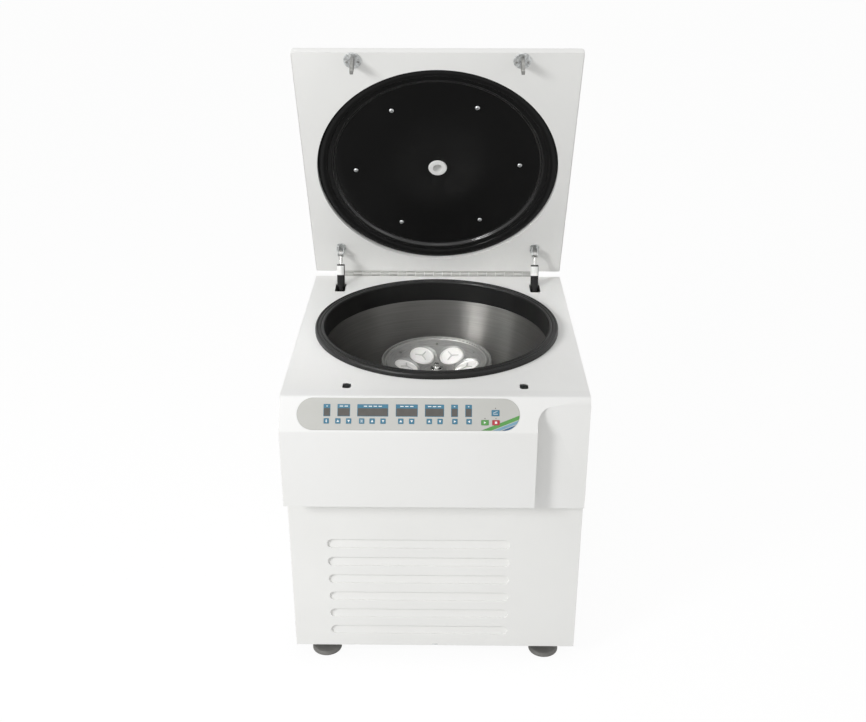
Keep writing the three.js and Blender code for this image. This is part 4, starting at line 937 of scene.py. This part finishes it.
def makeHook(word, side, size):
    seat, thick, half = size["seat"], size["thick"], size["plate"] / 2
    rim = [(0, seat), (size["flange"], seat), (size["flange"], seat - thick, 1), (0, seat - thick)]
    flange = addSolid("flange", rim, 3, 64)
    root = seat - thick + 0.3
    base, tip, shoulder, end = size["base"], size["tip"], size["shoulder"], size["end"]
    outline = [(-base, root), (-base, shoulder, 6), (-tip, end, 3), (tip, end, 3), (base, shoulder, 6),
               (base, root)]
    plate = roundEdges(addPrism("plate", softened(outline, 5), "X", -half, half), 1)
    wide, high, middle = size["eyeWide"], size["eyeHigh"], size["eye"]
    eye = boxOutline(-wide, wide, middle - high, middle + high, size["eyeRound"])
    cutAway(plate, addPrism("eye", eye, "X", -past, past))
    # The hook plate and its screws take the darker copy of the metal, which is painted shade
    parts = [coat(flange, "zincPlate"), coat(plate, "hookSteelPaintedShade")]
    for across in (-1, 1):
        head = coat(addSolid("screw", size["screw"], 3, 20), "hookSteelPaintedShade")
        parts.append(settle(head, shifted(across * size["screwX"], size["screwY"], 0)))
    whole = grouped("hook" + word, parts)
    settle(whole, lidPlace @ shifted(side * size["x"], size["y"], 0))
    finishPiece(whole, None, "lid", ["hook_" + word.lower()])


makeLidPan(lidPan)
makeInnerSheet(innerSheet)
makeDish(lidDish)
port = addTurned("sightPort", softened(sightPort["profile"], 4), 64)
finishPiece(settle(port, dishPlace), "whiteMoulding", "lid", ["view_port"], 50)
makeDishScrews(dishScrews)
for handWord, handSide in (("Left", -1), ("Right", 1)):
    makeHook(handWord, handSide, lidHook)
print("lid made")

# Strut brackets on the lid, gas struts and their labels
strutBracket = {"x": 272, "y": -98, "z": -18, "seat": 3.7, "halfX": 13, "halfY": 18, "round": 12, "thick": 3,
                "lugGap": 5.5, "lug": 3, "lugHalf": 9, "pin": 4}
gasStrut = {"eye": 9, "eyeHalf": 5.2, "pinHole": 4.4, "shank": 5, "top": -30, "end": -220, "radius": 11,
            "rodHole": 4.4, "bore": 9.3, "cap": 6, "labelIn": 10.8, "labelOut": 11.15, "labelTop": -34,
            "labelEnd": -60, "labelStart": 110, "labelStop": 325}


def makeBracket(word, side, size):
    seat, x, y, z = size["seat"], size["halfX"], size["y"], size["z"]
    under = seat - size["thick"]
    outline = boxOutline(-x, x, y - size["halfY"], y + size["halfY"], size["round"], 8)
    parts = [roundEdges(addPrism("base", outline, "Z", under, seat), 0.6, 2)]
    half, reach = size["lugHalf"], size["lugGap"] + size["lug"]
    edge = [(y - half, under + 0.3)] + arc(half, 180, 360, 12, y, z) + [(y + half, under + 0.3)]
    for hand in (-1, 1):
        low, high = sorted((hand * size["lugGap"], hand * reach))
        parts.append(roundEdges(addPrism("lug", edge, "X", low, high), 0.5, 2))
    parts.append(roundEdges(addBar("pin", size["pin"], -reach, reach, "X", (y, z), 32), 0.4, 2))
    whole = settle(grouped("strutBracket" + word, parts), lidPlace @ shifted(side * size["x"], 0, 0))
    finishPiece(whole, "zincPlate", "lid", ["strut_bracket_" + word.lower()])


def makeStrut(word, size):
    low = word.lower()
    body = "strut_cylinder_" + low
    axis = Vector(joints["strut_slide_" + low]["axis"])
    place = Matrix.Translation(Vector(joints["strut_pivot_" + low]["pos_m"]))
    place = place @ Matrix.Rotation(math.atan2(-axis.y, axis.z), 4, "X")
    radius, top, end = size["radius"], size["top"], size["end"]
    bore, hole, cap = size["bore"], size["rodHole"], size["cap"]
    profile = [(0, top), (radius, top, 1.6), (radius, end, 2), (hole, end), (hole, end + cap),
               (bore, end + cap), (bore, top - cap), (0, top - cap)]
    tube = settle(addSolid("strutTube" + word, profile, 4, 48), place)
    finishPiece(tube, "blackGloss", body, [body])
    half = size["eyeHalf"]
    eye = roundEdges(addBar("strutEye" + word, size["eye"], -half, half, "X", (0, 0)), 1.2)
    shank = [(0, top - 0.2), (size["shank"], top - 0.2), (size["shank"], -5), (0, -5)]
    joinOn(eye, addTurned("shank", shank, 32, ring=False))
    cutAway(eye, addBar("hole", size["pinHole"], -past, past, "X", (0, 0), 32))
    finishPiece(settle(eye, place), "turnedSteel", body)
    start, stop = size["labelStart"], size["labelStop"]
    outline = arc(size["labelOut"], start, stop, 36) + arc(size["labelIn"], stop, start, 36)
    label = settle(addPrism("strutLabel" + word, outline, "Z", size["labelEnd"], size["labelTop"]), place)
    finishPiece(label, "whiteInk", body)


for handWord, handSide in (("Left", -1), ("Right", 1)):
    makeBracket(handWord, handSide, strutBracket)
    makeStrut(handWord, gasStrut)
print("struts made")

# Piano hinge: two leaves whose knuckles take turns along the hinge line
pianoHinge = {"half": 268.5, "knuckles": 21, "radius": 6.25, "front": -7.7, "back": -6,
              "relief": 3, "gap": 0.5, "seam": 9, "seamFloor": 4.2, "edge": 0.4}


def makeLeaf(name, parity, side, height, seam, size):
    pitch, slack = 2 * size["half"] / size["knuckles"], size["seam"]
    knuckle = (arc(size["radius"], seam + slack, seam + 360 - slack, 30)
               + arc(size["seamFloor"], seam - slack * 0.8, seam + slack * 0.8, 1))
    low, high = sorted((side * size["relief"], side * height))
    leaf = addBlock(name, (-size["half"], size["front"], low), (size["half"], size["back"], high))
    parts = [roundEdges(leaf, size["edge"], 2)]
    low, high = sorted((0, side * (size["relief"] + 0.3)))
    for i in range(parity, size["knuckles"], 2):
        start = -size["half"] + i * pitch + size["gap"]
        end = start + pitch - 2 * size["gap"]
        parts.append(addBlock("tab", (start, size["front"], low), (end, size["back"], high)))
        parts.append(roundEdges(addPrism("knuckle", knuckle, "X", start, end), size["edge"], 2, 50))
    return grouped(name, parts)


# Each leaf's first knuckle, side of the hinge line, height, seam, place and body
hingeLeaves = {
    "hingeLeafDeck": (0, -1, 26, 128, Matrix.Translation(hingeLine), "cabinet", "hinge_fixed_leaf"),
    "hingeLeafLid": (1, 1, 18, 253, lidPlace, "lid", "hinge_lid_leaf")}
for leafName, (parity, side, height, seam, place, body, node) in hingeLeaves.items():
    leaf = settle(makeLeaf(leafName, parity, side, height, seam, pianoHinge), place)
    finishPiece(leaf, "brushedLeaf", body, [node])
print("hinge made")

# Levelling feet
levelFoot = {"profile": [(0, 0), (33, 0, 2), (37.5, 3, 2.5), (37.5, 7.5, 3), (33, 12.6, 4), (18, 14, 1),
                         (14, 16), (8, 16.4), (8, 64.7, 1), (0, 64.7)],
             "nut": 17, "nutLow": 32.7, "nutHigh": 44.7}
for footName in ("foot_front_left", "foot_front_right", "foot_rear_left", "foot_rear_right"):
    lowCorner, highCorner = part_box(footName)
    padName = "levelling" + footName.title().replace("_", "")
    pad = addSolid(padName, levelFoot["profile"], 5, 64)
    nut = addBar("nut", levelFoot["nut"], levelFoot["nutLow"], levelFoot["nutHigh"], "Z", (0, 0), 6)
    roundEdges(nut, 1, 2)
    middle = (lowCorner + highCorner) / 2
    foot = settle(grouped(padName, [pad, nut]), Matrix.Translation((middle.x, middle.y, 0)))
    finishPiece(foot, "footRubber", "cabinet", [footName])
print("feet made")

# Floor, sky and lamps
stageLook = {"floor": 60, "floorWhite": 0.9, "floorGlow": 1.03, "sky": 0.56}


def addMath(tree, operation, first, second):
    node = addNode(tree, "Math")
    node.operation = operation
    for value, socket in zip((first, second), node.inputs):
        if isinstance(value, float):
            socket.default_value = value
        else:
            linked(tree, value, socket)
    return node.outputs[0]


def addMixed(tree, share, first, second):
    mix = addNode(tree, "MixShader")
    for source, socket in zip((share, first, second), mix.inputs):
        linked(tree, source, socket)
    return mix.outputs[0]


def makeFloor(size):
    clearSelection()
    bpy.ops.mesh.primitive_plane_add(size=size["floor"], location=(0, 10, 0))
    floor = bpy.context.object
    floor.name = "paleFloor"
    tree, shader = startMaterial(floor.name)
    setInputs(shader, {"Base Color": tone(238, 238, 237), "Roughness": 0.9})
    glow = addNode(tree, "Emission", {"Strength": size["floorGlow"]})
    rays = addNode(tree, "LightPath").outputs
    seen = addMath(tree, "MAXIMUM", rays["Is Camera Ray"], rays["Is Glossy Ray"])
    share = addMath(tree, "MULTIPLY", seen, size["floorWhite"])
    whole = addMixed(tree, share, shader.outputs[0], glow.outputs[0])
    linked(tree, whole, tree.nodes["Material Output"].inputs["Surface"])
    coat(floor, floor.name)


def makeSky(size):
    world = bpy.data.worlds.new("paleSky")
    bpy.context.scene.world = world
    world.use_nodes = True
    tree = world.node_tree
    light = setInputs(tree.nodes["Background"], {"Strength": size["sky"], "Color": (1, 1, 1, 1)})
    white = addNode(tree, "Background", {"Color": (1, 1, 1, 1)})
    rays = addNode(tree, "LightPath").outputs
    seen = addMath(tree, "MAXIMUM", rays["Is Camera Ray"], rays["Is Glossy Ray"])
    seen = addMath(tree, "MAXIMUM", seen, rays["Is Transmission Ray"])
    whole = addMixed(tree, seen, light.outputs[0], white.outputs[0])
    linked(tree, whole, tree.nodes["World Output"].inputs["Surface"])


# Each lamp's place, aim, size in metres, power in watts and spread in degrees
lamps = {"keyLamp": ((-2.35, -2.45, 2.15), (0, 0, 0.85), 1.0, 57, 180),
         "fillLamp": ((2.8, -1.6, 2.2), (0, 0, 0.9), 1.6, 6, 180),
         "topLamp": ((-0.1, -0.7, 3.1), (0, 0.02, 0.7), 1.2, 6, 180),
         "bowlLamp": ((-1.95, -1.85, 2.6), (0.12, 0.24, 0.62), 0.4, 0.24, 9),
         "wallLamp": ((-2.2, -0.2, 2.1), (0.24, 0.12, 0.62), 0.7, 0.22, 9)}
makeFloor(stageLook)
makeSky(stageLook)
for lampName, (place, aim, across, power, spread) in lamps.items():
    bpy.ops.object.light_add(type="AREA", location=place)
    lamp = bpy.context.object
    lamp.name = lampName
    lamp.data.shape = "DISK"
    lamp.data.size = across
    lamp.data.energy = power
    lamp.data.spread = math.radians(spread)
    lamp.rotation_euler = (Vector(aim) - Vector(place)).to_track_quat("-Z", "Y").to_euler()
print("stage and lamps set")
